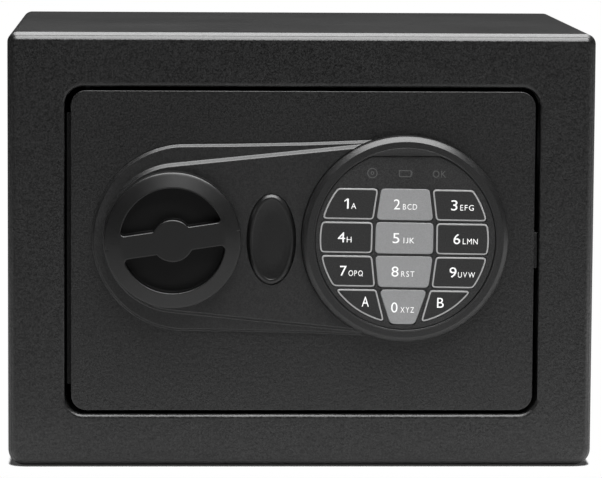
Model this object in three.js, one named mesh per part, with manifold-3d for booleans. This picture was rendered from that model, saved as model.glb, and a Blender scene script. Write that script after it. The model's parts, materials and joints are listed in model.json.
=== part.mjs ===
// Small home safe with an electronic keypad, a turn knob and an override key lock, piece by piece.
// Millimetres, +Z up. The origin is the middle of the base, and the door faces -Y.
import * as THREE from "three";
import { mergeVertices } from "three/addons/utils/BufferGeometryUtils.js";
import Module from "manifold-3d";

const wasm = await Module();
wasm.setup();

// Fits
const CLEAR = 0.3; // gap between two pieces that lie on each other
const RUN = 0.4; // gap round a piece that slides or turns
const PAST = 1; // how far a cutting shape runs past the face that it cuts, or a joined one into its neighbour

// Cabinet
const BODY_WIDTH = 229;
const BODY_HEIGHT = 170;
const BODY_DEPTH = 170;
const SHEET = 1.2; // cabinet steel
const TOP_CORNER_R = 4;
const BOTTOM_CORNER_R = 6.4;
const EDGE_R = 3; // rounding of the front and rear edges
const REAR_FLANGE = 10; // width of the rim round the rear panel
const JAMB_DEPTH = 12; // how far the doorway's folded edge runs back
const LIP_R = 1.5; // rounding of the doorway's front edge
const ANCHOR_R = 4.5;
const ANCHOR_SPACING = 110; // between the two holes in the rear, and in the floor
const REAR_ANCHOR_Z = 110;
const FLOOR_ANCHOR_Y = 25;
const MAT_THICK = 2;
const MAT_MARGIN = 3; // between the floor mat and the walls
const MAT_HOLE_MARGIN = 1; // mat's holes wider than the anchor holes, all round
const STOP_REACH = 3.4; // door stop tab, into the doorway
const STOP_THICK = 1.5;
const STOP_HEIGHT = 14;

// Door
const DOOR_WIDTH = 181;
const DOOR_HEIGHT = 125.4;
const DOOR_X = 0.6; // middle of the door
const DOOR_DROP = 0.2; // middle of the door below the middle of the cabinet
const DOOR_PLATE = 3;
const DOOR_CORNER_R = 6;
const DOOR_EDGE_R = 0.8;
const DOOR_RECESS = 0.3; // door face behind the cabinet's face
const HINGE_GAP = 2.5;
const LATCH_GAP = 1.9;
const EDGE_GAP = 1.4; // above and below the door

// Hinge
const PIVOT_INSET = 6.7; // pivot from the door's left edge
const PIVOT_BEHIND = 2.7; // pivot behind the door's rear face
const PIN_R = 1.8;
const PIN_REACH = 3.5; // pin beyond the doorway's edge
const BUSH_WALL = 1.1;
const BUSH_FLANGE = 1.2; // bush flange beyond its sleeve, all round
const BUSH_FLANGE_THICK = 1;
const LEAF_THICK = 1.5;
const LEAF_OVERHANG = 1.7; // leaf beyond the door's left edge
const LEAF_SHORT = 18.7; // leaf shorter than the door
const LEAF_RISE = 0.45; // middle of the leaf above the door's middle
const LEAF_GAP = 2; // between the leaf and the inner cover
const EAR_HALF = 5;

// Front panel of the door
const AXIS_RISE = 5.4; // knob, key cover and keypad above the door's middle
const BASE_STEP = 1.8;
const BASE_BEVEL = 1.1;
const BASE_LEFT_X = -43.8;
const BASE_LEFT_R = 37.3;
const BASE_RIGHT_R = 39.9;
const BASE_STRAIGHT_END_X = 13;
const RAISED_STEP = 1.5;
const RAISED_BEVEL = 1.5;
const RAISED_LEFT_X = -48;
const RAISED_LEFT_R = 29.5;
const RAISED_RIGHT_R = 38.5;

// Knob
const KNOB_X = -50.3;
const KNOB_R = 26.25;
const KNOB_HEIGHT = 9.4;
const CROWN_R = 18; // radius at which the knob's face starts to fall away
const CROWN_DROP = 2.8;
const KNOB_BACK_BEVEL = 0.6;
const KNOB_TILT = 8.5; // degrees, right end of the bar up
const BAR_WIDTH = 9.2;
const BOSS_R = 8.25;
const POCKET_R = 20.4;
const POCKET_FILLET = 1.4;
const POCKET_FLOOR = 2.4; // thickness left behind the finger pockets
const SHAFT_R = 4;
const SHAFT_FLAT = 6.4; // across the flats of the driving end
const SHAFT_IN_KNOB = 6.1; // length of the shaft inside the knob
const BUSH_R = 6; // knob bush, sleeve
const KNOB_BUSH_FLANGE_R = 8;
const KNOB_BUSH_FLANGE = 1.5;
const CLIP_THICK = 1;
const CLIP_R = 6.5;
const CLIP_MOUTH = 6;
const CAM_THICK = 3;
const CAM_HUB_R = 7.5;
const CRANK_R = 7.78;
const CRANK_PIN_R = 2;
const CRANK_EYE_WALL = 2;
const CRANK_PIN_PROUD = 1; // crank pin behind the bolt plate
const CRANK_REST = 40; // degrees before straight down, in the unlocked position

// Keypad
const KEYPAD_X = 40.2;
const RING_R = 39.75;
const RING_HEIGHT = 7.5;
const RING_BEVEL_IN = 1.75;
const RING_BEVEL_DOWN = 3;
const RING_LAND_R = 35.9;
const RING_LAND_DOWN = 0.4;
const MASK_R = 35;
const MASK_THICK = 1.5;
const MASK_RECESS = 0.6;
const MASK_CHORD_Z = 32.4; // flat top edge of the mask, above the keypad's middle
const MASK_SEAT = 0.8; // width of the ledge that carries the mask
const RING_FLOOR = 1.3;
const FIELD_TILT = -0.8; // degrees, the key field hangs a little to the right
const FIELD_X = -0.45; // middle of the key field from the ring's middle
const FIELD_R = 32.9; // outline that the outer keys follow
const ROW_TOP = 19.8; // top edge of the first row
const ROW_PITCH = 13.15;
const KEY_HEIGHT = 12;
const LAST_KEY_HEIGHT = 13.3;
const COLUMN_GAP = 1.35;
const LAST_COLUMN_GAP = 2.5; // between the lowest keys, at their lower corners
const MIDDLE_HALF_WIDTHS = [[9.3, 10.9], [11.1, 11.2], [11.1, 9.7], [9.2, 4.7]];
const KEY_CORNER_R = 0.9;
const KEY_PROUD = 0.1;
const KEY_GAP = 0.3;
const KEY_FLANGE = 0.4; // hidden flange beyond the key's face
const KEY_FLANGE_THICK = 1;
const KEY_TRAVEL = 0.6;
const BOARD_THICK = 1.6;
const CABLE_WIDTH = 8;
const CABLE_THICK = 1.2;
const CABLE_X = 32;
const CABLE_RISE = 21.8; // above the keypad's middle
const CABLE_HOLE_R = 5;

// Override lock and its cover
const LOCK_X = -11.9;
const LOCK_RISE = 4.8; // above the middle of its cover
const LOCK_BODY_R = 6.5;
const LOCK_FLANGE_R = 7.8;
const LOCK_FLANGE = 1.5;
const LOCK_BODY_BEHIND = 9.7; // lock body behind the door's rear face
const LOCK_NUT_R = 10;
const LOCK_NUT_THICK = 3;
const PLUG_R = 4.2;
const PLUG_STUB_R = 3;
const KEYWAY_WIDTH = 1.6;
const KEYWAY_HEIGHT = 5.6;
const KEYWAY_DEPTH = 9;
const LOCK_CAM_THICK = 1.5;
const LOCK_CAM_WIDTH = 6.4;
const LOCK_CAM_REACH = 15;
const LOCK_CAM_HUB_WALL = 2;
const COVER_WIDTH = 18.2;
const COVER_HEIGHT = 34.7;
const COVER_THICK = 2;
const COVER_PROUD = 1;
const COVER_BEVEL = 1.2;
const COVER_RIM = 1.9;
const COVER_DISH = 0.4;
const COVER_LEG_Z = 14.2;
const COVER_LEG_WIDTH = 5;
const COVER_LEG_THICK = 1.2;

// Bolt work
const BOLT_R = 6;
const BOLT_BEVEL = 1;
const BOLT_TRAY_GAP = 3.2; // between the bolts' riveted heads and the battery tray
const BOLT_TIP_INSET = 2.5; // tip short of the doorway's edge, unlocked
const BOLT_TRAVEL = 10;
const BOLT_SPREAD = 50;
const BOLT_RISE = 0.2; // middle between the bolts above the door's middle
const BOLT_BEHIND_JAMB = 1; // between the bolt and the jamb that it locks behind
const SPIGOT_R = 3;
const SPIGOT_HEAD_R = 4.5;
const SPIGOT_HEAD = 1.2;
const BOLT_PLATE = 2;
const BOLT_PLATE_BEHIND = 6.2; // bolt plate's front face behind the door's rear face
const ARM_DROP = 10.2; // middle of the bolt plate's arm below the knob's axis
const ARM_HEIGHT = 14;
const ARM_HEAD_LEFT = 5.2; // arm beyond the crank pin, to the left
const ARM_HEAD_RIGHT = 6.3;
const CROSS_WIDTH = 13;
const LUG_MARGIN = 4; // bolt plate above and below the bolts
const HEAD_MARGIN = 3; // bolt plate above the crank pin's slot
const STUD_X = [-25, 36];
const STUD_R = 2.5;
const STUD_HEAD_R = 4.5;
const STUD_HEAD = 1.5;
const GUIDE_INSET = 15.1; // bolt guide from the door's right edge
const GUIDE_THICK = 2;
const GUIDE_FOOT = 11;
const GUIDE_MARGIN = 4.5; // guide above and below the bolts
const GUIDE_BACK = 3; // guide behind the bolts

// Solenoid that blocks the bolt work
const PLUNGER_X = 14;
const PLUNGER_R = 3;
const PLUNGER_TRAVEL = 4;
const PLUNGER_LIFT = 0.5; // plunger tip above the blocking pin at rest
const PLUNGER_LENGTH = 24;
const BLOCK_PIN_R = 1.5;
const BLOCK_PIN_DROP = 2.8; // pin's middle below the arm's upper edge
const BLOCK_PIN_REACH = 6.5; // pin behind the bolt plate
const BLOCK_GAP = 0.5; // between the dropped plunger and the pin on either side of it
const COLLAR_R = 4.8;
const COLLAR_THICK = 1.5;
const COLLAR_UP = 5; // collar above the plunger's tip
const SPRING_R = 4.1;
const SPRING_WIRE = 0.7;
const SPRING_TURNS = 4;
const SPRING_LENGTH = 5.4;
const SOLENOID_WIDTH = 20;
const SOLENOID_HEIGHT = 24;
const SOLENOID_BACK = 6.9; // solenoid behind the plunger's axis

// Inner cover and what it holds
const COVER_WALL = 2;
const INNER_KNOB_MARGIN = 17.7; // inner cover's left side from the knob's axis
const INNER_RIGHT_INSET = 5.1; // inner cover's right side from the door's right edge
const INNER_HEIGHT = 102;
const INNER_RISE = 0.2; // middle of the inner cover above the door's middle
const INNER_DEPTH = 34.4;
const INNER_CORNER_R = 5;
const POST_R = 4.5;
const POST_INSET = 6;
const SCREW_R = 1.5;
const SCREW_HEAD_R = 3;
const SCREW_HEAD = 2;
const SCREW_SINK = 1; // screw head below the inner cover's face
const SCREW_SLOT = { half: 0.4, reach: 2, depth: 0.8 };
const SCREW_IN_DOOR = 1.7;
const BATTERY_R = 7.25;
const BATTERY_LENGTH = 50.5;
const BATTERY_NIPPLE_R = 2.75;
const BATTERY_NIPPLE = 1.2;
const TRAY_WALL = 1.2;
const TRAY_X = -1.85; // middle of the battery tray
const TRAY_FOOT = 1; // between the tray and the inner cover below it
const HATCH_RIM = 3; // inner cover left round the battery hatch
const HATCH_CORNER_R = 2;
const GRIP_WIDTH = 18;
const GRIP_HEIGHT = 1;
const GRIP_PITCH = 2;
const GRIP_DEPTH = 0.8;
const GRIP_DOWN = 4; // first grip below the hatch's upper edge
const CONTROL_LEFT_X = -20;
const CONTROL_WIDTH = 60;
const CONTROL_FROM_TOP = 4; // control board below the inner cover's upper side
const CONTROL_HEIGHT = 24;
const CONTROL_STANDOFF = 4; // control board from the inside of the inner cover
const STANDOFF_R = 2.2;
const STANDOFF_INSET = 3;
const CHIP = { x: 14, z: 11, width: 12, height: 10, thick: 1.6 }; // middle from the board's corner
const RELAY = { x: 33.5, z: 12, width: 13, height: 14, thick: 6 };
const RESET_X = -8;
const RESET_DOWN = 11; // reset button below the control board's upper edge
const RESET_R = 3;
const RESET_PROUD = 1.5;
const RESET_TRAVEL = 1.5;
const RESET_COLLAR = 1;
const RESET_COLLAR_WIDTH = 1;

// Smoothness of round shapes
const CORNER_STEPS = 6; // segments in a quarter circle
const ROUND = { fine: 72, plain: 24, small: 16 };

// Places that follow from the sizes
const faceY = -BODY_DEPTH / 2;
const rearY = BODY_DEPTH / 2;
const doorFrontY = faceY + DOOR_RECESS;
const doorBackY = doorFrontY + DOOR_PLATE;
const doorLeft = DOOR_X - DOOR_WIDTH / 2;
const doorRight = DOOR_X + DOOR_WIDTH / 2;
const doorZ = BODY_HEIGHT / 2 - DOOR_DROP;
const doorBottom = doorZ - DOOR_HEIGHT / 2;
const doorTop = doorZ + DOOR_HEIGHT / 2;
const axisZ = doorZ + AXIS_RISE;
const lockZ = axisZ + LOCK_RISE;
const cableZ = axisZ + CABLE_RISE;
const boltZ = doorZ + BOLT_RISE;
const wayLeft = doorLeft - HINGE_GAP;
const wayRight = doorRight + LATCH_GAP;
const wayBottom = doorBottom - EDGE_GAP;
const wayTop = doorTop + EDGE_GAP;
const jambEndY = faceY + JAMB_DEPTH;
const pivotX = doorLeft + PIVOT_INSET;
const pivotY = doorBackY + PIVOT_BEHIND;
const bushInnerR = PIN_R + CLEAR;
const bushOuterR = bushInnerR + BUSH_WALL;
const panelBackY = doorFrontY - CLEAR;
const baseFrontY = panelBackY - BASE_STEP;
const raisedFrontY = baseFrontY - RAISED_STEP;
const knobBackY = raisedFrontY - CLEAR;
const knobFrontY = knobBackY - KNOB_HEIGHT;
const ringFrontY = panelBackY - RING_HEIGHT;
const ringLandY = ringFrontY + RING_LAND_DOWN;
const maskFrontY = ringFrontY + MASK_RECESS;
const maskBackY = maskFrontY + MASK_THICK;
const keyBackY = maskBackY + CLEAR + KEY_FLANGE_THICK;
const boardFrontY = keyBackY + KEY_TRAVEL + CLEAR;
const boardBackY = boardFrontY + BOARD_THICK;
const ringFloorY = panelBackY - RING_FLOOR;
const seatR = MASK_R + CLEAR - MASK_SEAT;
const fittingY = doorBackY + CLEAR; // where fittings lie on the door's rear face
const clipBackY = fittingY + CLIP_THICK;
const camFrontY = clipBackY + CLEAR;
const camBackY = camFrontY + CAM_THICK;
const boltPlateY = doorBackY + BOLT_PLATE_BEHIND; // its front face
const boltPlateBackY = boltPlateY + BOLT_PLATE;
const lockBodyEndY = doorBackY + LOCK_BODY_BEHIND;
const shaftEndY = camBackY + CLEAR;
const armZ = axisZ - ARM_DROP;
const armBottom = armZ - ARM_HEIGHT / 2;
const armTop = armZ + ARM_HEIGHT / 2;
const boltY = jambEndY + BOLT_BEHIND_JAMB + BOLT_R;
const boltTipX = wayRight - BOLT_TIP_INSET;
const trayInnerLength = 2 * BATTERY_LENGTH + 3 * CLEAR;
const trayLeft = TRAY_X - trayInnerLength / 2 - TRAY_WALL;
const trayRight = TRAY_X + trayInnerLength / 2 + TRAY_WALL;
const boltHeadX = trayRight + BOLT_TRAY_GAP;
const lugLeftX = boltHeadX + SPIGOT_HEAD + CLEAR;
const lugRightX = lugLeftX + BOLT_PLATE;
const boltTailX = lugRightX + CLEAR;
const guideX = doorRight - GUIDE_INSET;
const innerLeft = KNOB_X - INNER_KNOB_MARGIN;
const innerRight = doorRight - INNER_RIGHT_INSET;
const innerBottom = doorZ + INNER_RISE - INNER_HEIGHT / 2;
const innerTop = innerBottom + INNER_HEIGHT;
const innerFrontY = fittingY;
const innerBackY = innerFrontY + INNER_DEPTH;
const innerFaceY = innerBackY - COVER_WALL; // inside of the inner cover's rear wall

// Joins and cuts

function solidFrom(geometry) {
  const bare = new THREE.BufferGeometry();
  const loose = geometry.index ? geometry.toNonIndexed() : geometry;
  bare.setAttribute("position", loose.getAttribute("position"));
  const merged = mergeVertices(bare, 1e-4);
  const vertProperties = new Float32Array(merged.attributes.position.array);
  const triVerts = new Uint32Array(merged.index.array);
  const made = new wasm.Manifold(new wasm.Mesh({ numProp: 3, vertProperties, triVerts }));
  if (made.volume() > 0) return made;
  triVerts.reverse();
  return new wasm.Manifold(new wasm.Mesh({ numProp: 3, vertProperties, triVerts }));
}

function geometryFrom(solid) {
  const mesh = solid.getMesh();
  const geometry = new THREE.BufferGeometry();
  geometry.setAttribute("position", new THREE.BufferAttribute(mesh.vertProperties, 3));
  geometry.setIndex(new THREE.BufferAttribute(mesh.triVerts, 1));
  const faceted = geometry.toNonIndexed();
  faceted.computeVertexNormals();
  return faceted;
}

function join(...solids) {
  return solids.reduce((whole, next) => whole.add(next));
}

function cut(solid, ...tools) {
  return tools.reduce((rest, tool) => rest.subtract(tool), solid);
}

// Outlines are lists of points in the XZ plane, counterclockwise as seen from the front

function arcPoints(x, z, radius, fromDegrees, toDegrees, steps) {
  const points = [];
  for (let i = 0; i <= steps; i++) {
    const angle = THREE.MathUtils.degToRad(fromDegrees + ((toDegrees - fromDegrees) * i) / steps);
    points.push(new THREE.Vector2(x + radius * Math.cos(angle), z + radius * Math.sin(angle)));
  }
  return points;
}

function ovalPoints(x, z, halfWidth, halfHeight, steps) {
  return arcPoints(0, 0, 1, 0, 360 - 360 / steps, steps - 1).map(
    (p) => new THREE.Vector2(x + halfWidth * p.x, z + halfHeight * p.y),
  );
}

function roundedBox(left, right, bottom, top, bottomR, topR = bottomR) {
  return [
    ...arcPoints(right - bottomR, bottom + bottomR, bottomR, -90, 0, CORNER_STEPS),
    ...arcPoints(right - topR, top - topR, topR, 0, 90, CORNER_STEPS),
    ...arcPoints(left + topR, top - topR, topR, 90, 180, CORNER_STEPS),
    ...arcPoints(left + bottomR, bottom + bottomR, bottomR, 180, 270, CORNER_STEPS),
  ];
}

// Moves each point of an outline outwards by the same distance, measured square to its two sides.
function grown(points, distance) {
  return points.map((point, i) => {
    const before = points[(i + points.length - 1) % points.length];
    const after = points[(i + 1) % points.length];
    const sideIn = point.clone().sub(before).normalize();
    const sideOut = after.clone().sub(point).normalize();
    const normal = new THREE.Vector2(sideIn.y + sideOut.y, -sideIn.x - sideOut.x).normalize();
    const reach = distance / (normal.x * sideIn.y - normal.y * sideIn.x);
    return point.clone().addScaledVector(normal, reach);
  });
}

// Rounds each sharp corner of an outline with an arc of the given radius.
function cornersRounded(points, radius) {
  const sharp = Math.cos(THREE.MathUtils.degToRad(25));
  const steps = 4;
  return points.flatMap((point, i) => {
    const before = points[(i + points.length - 1) % points.length];
    const after = points[(i + 1) % points.length];
    const sideIn = point.clone().sub(before).normalize();
    const sideOut = after.clone().sub(point).normalize();
    const turn = Math.acos(THREE.MathUtils.clamp(sideIn.dot(sideOut), -1, 1));
    if (Math.cos(turn) > sharp) return [point];
    const tangent = radius * Math.tan(turn / 2);
    const start = point.clone().addScaledVector(sideIn, -tangent);
    const end = point.clone().addScaledVector(sideOut, tangent);
    const curve = new THREE.QuadraticBezierCurve(start, point, end);
    return curve.getPoints(steps);
  });
}

// Solids

// Skins a row of outlines with the same number of points, each at its own depth, front one first.
function loft(stations) {
  const count = stations[0].outline.length;
  const positions = stations.flatMap(({ outline, y }) => outline.flatMap((p) => [p.x, y, p.y]));
  const index = [];
  const cap = THREE.ShapeUtils.triangulateShape(stations[0].outline, []);
  const lastRing = (stations.length - 1) * count;
  for (const [a, b, c] of cap) {
    index.push(a, b, c);
    index.push(lastRing + a, lastRing + c, lastRing + b);
  }
  for (let ring = 0; ring < stations.length - 1; ring++) {
    for (let i = 0; i < count; i++) {
      const a = ring * count + i;
      const b = ring * count + ((i + 1) % count);
      index.push(a, a + count, b + count, a, b + count, b);
    }
  }
  const geometry = new THREE.BufferGeometry();
  geometry.setAttribute("position", new THREE.Float32BufferAttribute(positions, 3));
  geometry.setIndex(index);
  return solidFrom(geometry);
}

function prism(outline, frontY, backY) {
  const geometry = new THREE.ExtrudeGeometry(new THREE.Shape(outline), {
    depth: backY - frontY,
    bevelEnabled: false,
  });
  geometry.rotateX(Math.PI / 2);
  geometry.translate(0, backY, 0);
  return solidFrom(geometry);
}

function box(left, right, frontY, backY, bottom, top) {
  const geometry = new THREE.BoxGeometry(right - left, backY - frontY, top - bottom);
  geometry.translate((left + right) / 2, (frontY + backY) / 2, (bottom + top) / 2);
  return solidFrom(geometry);
}

// A round bar along Y, Z or X; the centre is given in the two other axes, in the order x, y, z.
function rodY(radius, frontY, backY, x = 0, z = 0, segments = ROUND.plain) {
  const geometry = new THREE.CylinderGeometry(radius, radius, backY - frontY, segments);
  geometry.translate(x, (frontY + backY) / 2, z);
  return solidFrom(geometry);
}

function rodZ(radius, bottom, top, x = 0, y = 0, segments = ROUND.small) {
  const geometry = new THREE.CylinderGeometry(radius, radius, top - bottom, segments);
  geometry.rotateX(Math.PI / 2);
  geometry.translate(x, y, (bottom + top) / 2);
  return solidFrom(geometry);
}

function rodX(radius, left, right, y = 0, z = 0, segments = ROUND.plain) {
  const geometry = new THREE.CylinderGeometry(radius, radius, right - left, segments);
  geometry.rotateZ(Math.PI / 2);
  geometry.translate((left + right) / 2, y, z);
  return solidFrom(geometry);
}

// Turns a profile of [radius, y] points about the Y axis.
function turned(profile, segments = ROUND.plain) {
  const points = profile.map(([radius, y]) => new THREE.Vector2(radius, y));
  return solidFrom(new THREE.LatheGeometry(points, segments));
}

// Quarter-round edge: pairs of inset and depth, from the face back to the full width.
function roundEdge(radius, steps = 4) {
  return Array.from({ length: steps + 1 }, (_, i) => {
    const angle = (Math.PI / 2) * (i / steps);
    return { inset: radius * (1 - Math.sin(angle)), depth: radius * (1 - Math.cos(angle)) };
  });
}

// Materials
const finish = (color, roughness, metalness) =>
  new THREE.MeshStandardMaterial({ color, roughness, metalness, flatShading: true });
const powderCoat = finish(0x26272a, 0.62, 0.1);
const blackPlastic = finish(0x2a2a2c, 0.45, 0);
const overlayBlack = finish(0x1d1d1f, 0.4, 0);
const keyBlack = finish(0x1b1b1d, 0.4, 0);
const keyGrey = finish(0x8f9193, 0.5, 0);
const zincSteel = finish(0xb7bbbd, 0.35, 0.9);
const brightSteel = finish(0xc9ccce, 0.2, 1);
const brass = finish(0xc8a557, 0.3, 0.9);
const felt = finish(0x1b1b1e, 0.95, 0);
const boardGreen = finish(0x1f5a35, 0.5, 0.1);
const cableGrey = finish(0x9a9c9e, 0.5, 0);
const coilYellow = finish(0xb98f3a, 0.5, 0.2);
const batteryWrap = finish(0x3b5a7a, 0.4, 0.1);
const resetRed = finish(0xa5281f, 0.4, 0);

const safe = new THREE.Group();
safe.name = "home_safe";

function groupAt(parent, x, y, z) {
  const group = new THREE.Group();
  group.position.set(x, y, z);
  parent.add(group);
  return group;
}

function addPiece(parent, name, solid, material) {
  const mesh = new THREE.Mesh(geometryFrom(solid), material);
  mesh.name = name;
  parent.add(mesh);
  return mesh;
}

// Cabinet: folded shell, rear panel, hinge bushes, floor mat

// The cabinet's outline in front view, drawn in by a distance.
function bodyOutline(inset) {
  const side = BODY_WIDTH / 2 - inset;
  const cornerR = (radius) => Math.max(radius - inset, SHEET);
  return roundedBox(
    -side, side, inset, BODY_HEIGHT - inset, cornerR(BOTTOM_CORNER_R), cornerR(TOP_CORNER_R),
  );
}

const wayOutline = roundedBox(
  wayLeft, wayRight, wayBottom, wayTop, DOOR_CORNER_R + EDGE_GAP,
);
const windowInset = SHEET + REAR_FLANGE;

function bodyShell() {
  const edge = roundEdge(EDGE_R);
  const outer = loft([
    ...edge.map(({ inset, depth }) => ({ outline: bodyOutline(inset), y: faceY + depth })),
    ...edge
      .map(({ inset, depth }) => ({ outline: bodyOutline(inset), y: rearY - depth }))
      .reverse(),
  ]);
  const lip = roundEdge(LIP_R);
  const doorway = loft([
    { outline: grown(wayOutline, LIP_R), y: faceY - PAST },
    ...lip.map(({ inset, depth }) => ({ outline: grown(wayOutline, inset), y: faceY + depth })),
    { outline: wayOutline, y: jambEndY + PAST },
  ]);
  const jamb = prism(grown(wayOutline, SHEET), faceY, jambEndY);
  const cavity = cut(prism(bodyOutline(SHEET), faceY + SHEET, rearY - SHEET), jamb);
  const window = prism(bodyOutline(windowInset), rearY - SHEET - PAST, rearY + PAST);
  const bushHoles = rodZ(
    bushOuterR + CLEAR, wayBottom - SHEET - PAST, wayTop + SHEET + PAST, pivotX, pivotY,
  );
  const anchors = [-1, 1].map((side) =>
    rodZ(ANCHOR_R, -PAST, SHEET + PAST, (side * ANCHOR_SPACING) / 2, FLOOR_ANCHOR_Y),
  );
  return cut(outer, cavity, doorway, window, bushHoles, ...anchors);
}

// Angle on the doorway's right edge that the closed door comes to rest against.
function doorStop() {
  const right = wayRight - CLEAR;
  const level = [boltZ - STOP_HEIGHT / 2, boltZ + STOP_HEIGHT / 2];
  const foot = box(right - STOP_THICK, right, fittingY, jambEndY, ...level);
  const tab = box(wayRight - STOP_REACH, right, fittingY, fittingY + STOP_THICK, ...level);
  return join(foot, tab);
}

function rearPanel() {
  const flangeBackY = rearY - SHEET - CLEAR;
  const field = windowInset + CLEAR;
  const flange = prism(bodyOutline(SHEET + CLEAR), flangeBackY - SHEET, flangeBackY);
  const raised = prism(bodyOutline(field), flangeBackY - SHEET, rearY);
  const hollow = prism(bodyOutline(field + SHEET), flangeBackY - 2 * SHEET, rearY - SHEET);
  const anchors = [-1, 1].map((side) =>
    rodY(ANCHOR_R, flangeBackY - SHEET, rearY + SHEET, (side * ANCHOR_SPACING) / 2, REAR_ANCHOR_Z),
  );
  return cut(join(flange, raised), hollow, ...anchors);
}

// A flanged sleeve in the doorway's edge; its flange lies on the hidden side.
function hingeBush() {
  const sleeveTop = SHEET + CLEAR;
  const flangeTop = sleeveTop + BUSH_FLANGE_THICK;
  const flangeR = bushOuterR + BUSH_FLANGE;
  const sleeve = rodZ(bushOuterR, 0, flangeTop);
  const flange = rodZ(flangeR, sleeveTop, flangeTop);
  return cut(join(sleeve, flange), rodZ(bushInnerR, -PAST, flangeTop + PAST));
}

function floorMat() {
  const side = BODY_WIDTH / 2 - BOTTOM_CORNER_R - MAT_MARGIN;
  const bottom = SHEET + CLEAR;
  const mat = box(
    -side, side, faceY + SHEET + MAT_MARGIN, rearY - 2 * SHEET - CLEAR - MAT_MARGIN,
    bottom, bottom + MAT_THICK,
  );
  const holes = [-1, 1].map((hand) =>
    rodZ(ANCHOR_R + MAT_HOLE_MARGIN, 0, bottom + 2 * MAT_THICK, (hand * ANCHOR_SPACING) / 2, FLOOR_ANCHOR_Y),
  );
  return cut(mat, ...holes);
}

addPiece(safe, "body_shell", bodyShell(), powderCoat);
addPiece(safe, "rear_panel", rearPanel(), powderCoat);
addPiece(safe, "door_stop", doorStop(), powderCoat);
const upperBush = addPiece(safe, "upper_hinge_bush", hingeBush(), brass);
upperBush.position.set(pivotX, pivotY, wayTop);
const lowerBush = addPiece(safe, "lower_hinge_bush", hingeBush(), brass);
lowerBush.position.set(pivotX, pivotY, wayBottom);
lowerBush.rotation.x = Math.PI;
addPiece(safe, "floor_mat", floorMat(), felt);

// Door plate and hinge
const door = groupAt(safe, 0, 0, 0);
const leafBottom = doorBottom + LEAF_SHORT / 2 + LEAF_RISE;
const leafTop = doorTop - LEAF_SHORT / 2 + LEAF_RISE;
const postXs = [innerLeft + POST_INSET, innerRight - POST_INSET];
const postZs = [innerBottom + POST_INSET, innerTop - POST_INSET];
const posts = postXs.flatMap((x) => postZs.map((z) => [x, z]));

function doorPlate() {
  const outline = roundedBox(doorLeft, doorRight, doorBottom, doorTop, DOOR_CORNER_R);
  const plate = loft([
    ...roundEdge(DOOR_EDGE_R, 3).map(({ inset, depth }) => ({
      outline: grown(outline, -inset),
      y: doorFrontY + depth,
    })),
    { outline, y: doorBackY },
  ]);
  const through = [doorFrontY - PAST, doorBackY + PAST];
  const screwHoles = posts.map(([x, z]) =>
    rodY(SCREW_R + CLEAR, doorBackY - SCREW_IN_DOOR - CLEAR, doorBackY + PAST, x, z, ROUND.small),
  );
  return cut(
    plate,
    rodY(BUSH_R + CLEAR, ...through, KNOB_X, axisZ),
    rodY(LOCK_BODY_R + CLEAR, ...through, LOCK_X, lockZ),
    rodY(CABLE_HOLE_R, ...through, CABLE_X, cableZ, ROUND.small),
    ...screwHoles,
  );
}

function hingeLeaf() {
  const left = doorLeft - LEAF_OVERHANG;
  const right = innerLeft - LEAF_GAP;
  const leaf = box(left, right, fittingY, fittingY + LEAF_THICK, leafBottom, leafTop);
  const ear = (bottom) =>
    box(
      pivotX - EAR_HALF, pivotX + EAR_HALF, fittingY, pivotY + EAR_HALF,
      bottom, bottom + LEAF_THICK,
    );
  return join(leaf, ear(leafBottom), ear(leafTop - LEAF_THICK));
}

addPiece(door, "door_plate", doorPlate(), powderCoat);
addPiece(door, "hinge_leaf", hingeLeaf(), powderCoat);
const upperPin = rodZ(PIN_R, leafTop + CLEAR, wayTop + PIN_REACH, pivotX, pivotY);
addPiece(door, "upper_hinge_pin", upperPin, brightSteel);
const lowerPin = rodZ(PIN_R, wayBottom - PIN_REACH, leafBottom - CLEAR, pivotX, pivotY);
addPiece(door, "lower_hinge_pin", lowerPin, brightSteel);

// Front panel: a low base and a raised field, each a left arc, two straight runs and a right arc

// Direction, in degrees, of the tangent point on a circle for the upper line through a point.
function tangentAngle(pointX, pointZ, centreX, centreZ, radius) {
  const toPoint = Math.atan2(pointZ - centreZ, pointX - centreX);
  const spread = Math.acos(radius / Math.hypot(pointX - centreX, pointZ - centreZ));
  return THREE.MathUtils.radToDeg(toPoint - spread);
}

function raisedOutline() {
  const slope = Math.asin((RAISED_RIGHT_R - RAISED_LEFT_R) / (KEYPAD_X - RAISED_LEFT_X));
  const lean = 90 + THREE.MathUtils.radToDeg(slope);
  return [
    ...arcPoints(RAISED_LEFT_X, axisZ, RAISED_LEFT_R, lean, 360 - lean, 36),
    ...arcPoints(KEYPAD_X, axisZ, RAISED_RIGHT_R, -lean, lean, 24),
  ];
}

function baseOutline() {
  const side = tangentAngle(
    BASE_STRAIGHT_END_X, axisZ + BASE_LEFT_R, KEYPAD_X, axisZ, BASE_RIGHT_R,
  );
  return [
    ...arcPoints(BASE_LEFT_X, axisZ, BASE_LEFT_R, 90, 270, 36),
    new THREE.Vector2(BASE_STRAIGHT_END_X, axisZ - BASE_LEFT_R),
    ...arcPoints(KEYPAD_X, axisZ, BASE_RIGHT_R, -side, side, 24),
    new THREE.Vector2(BASE_STRAIGHT_END_X, axisZ + BASE_LEFT_R),
  ];
}

const coverOval = ovalPoints(0, 0, COVER_WIDTH / 2, COVER_HEIGHT / 2, 48);

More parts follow.
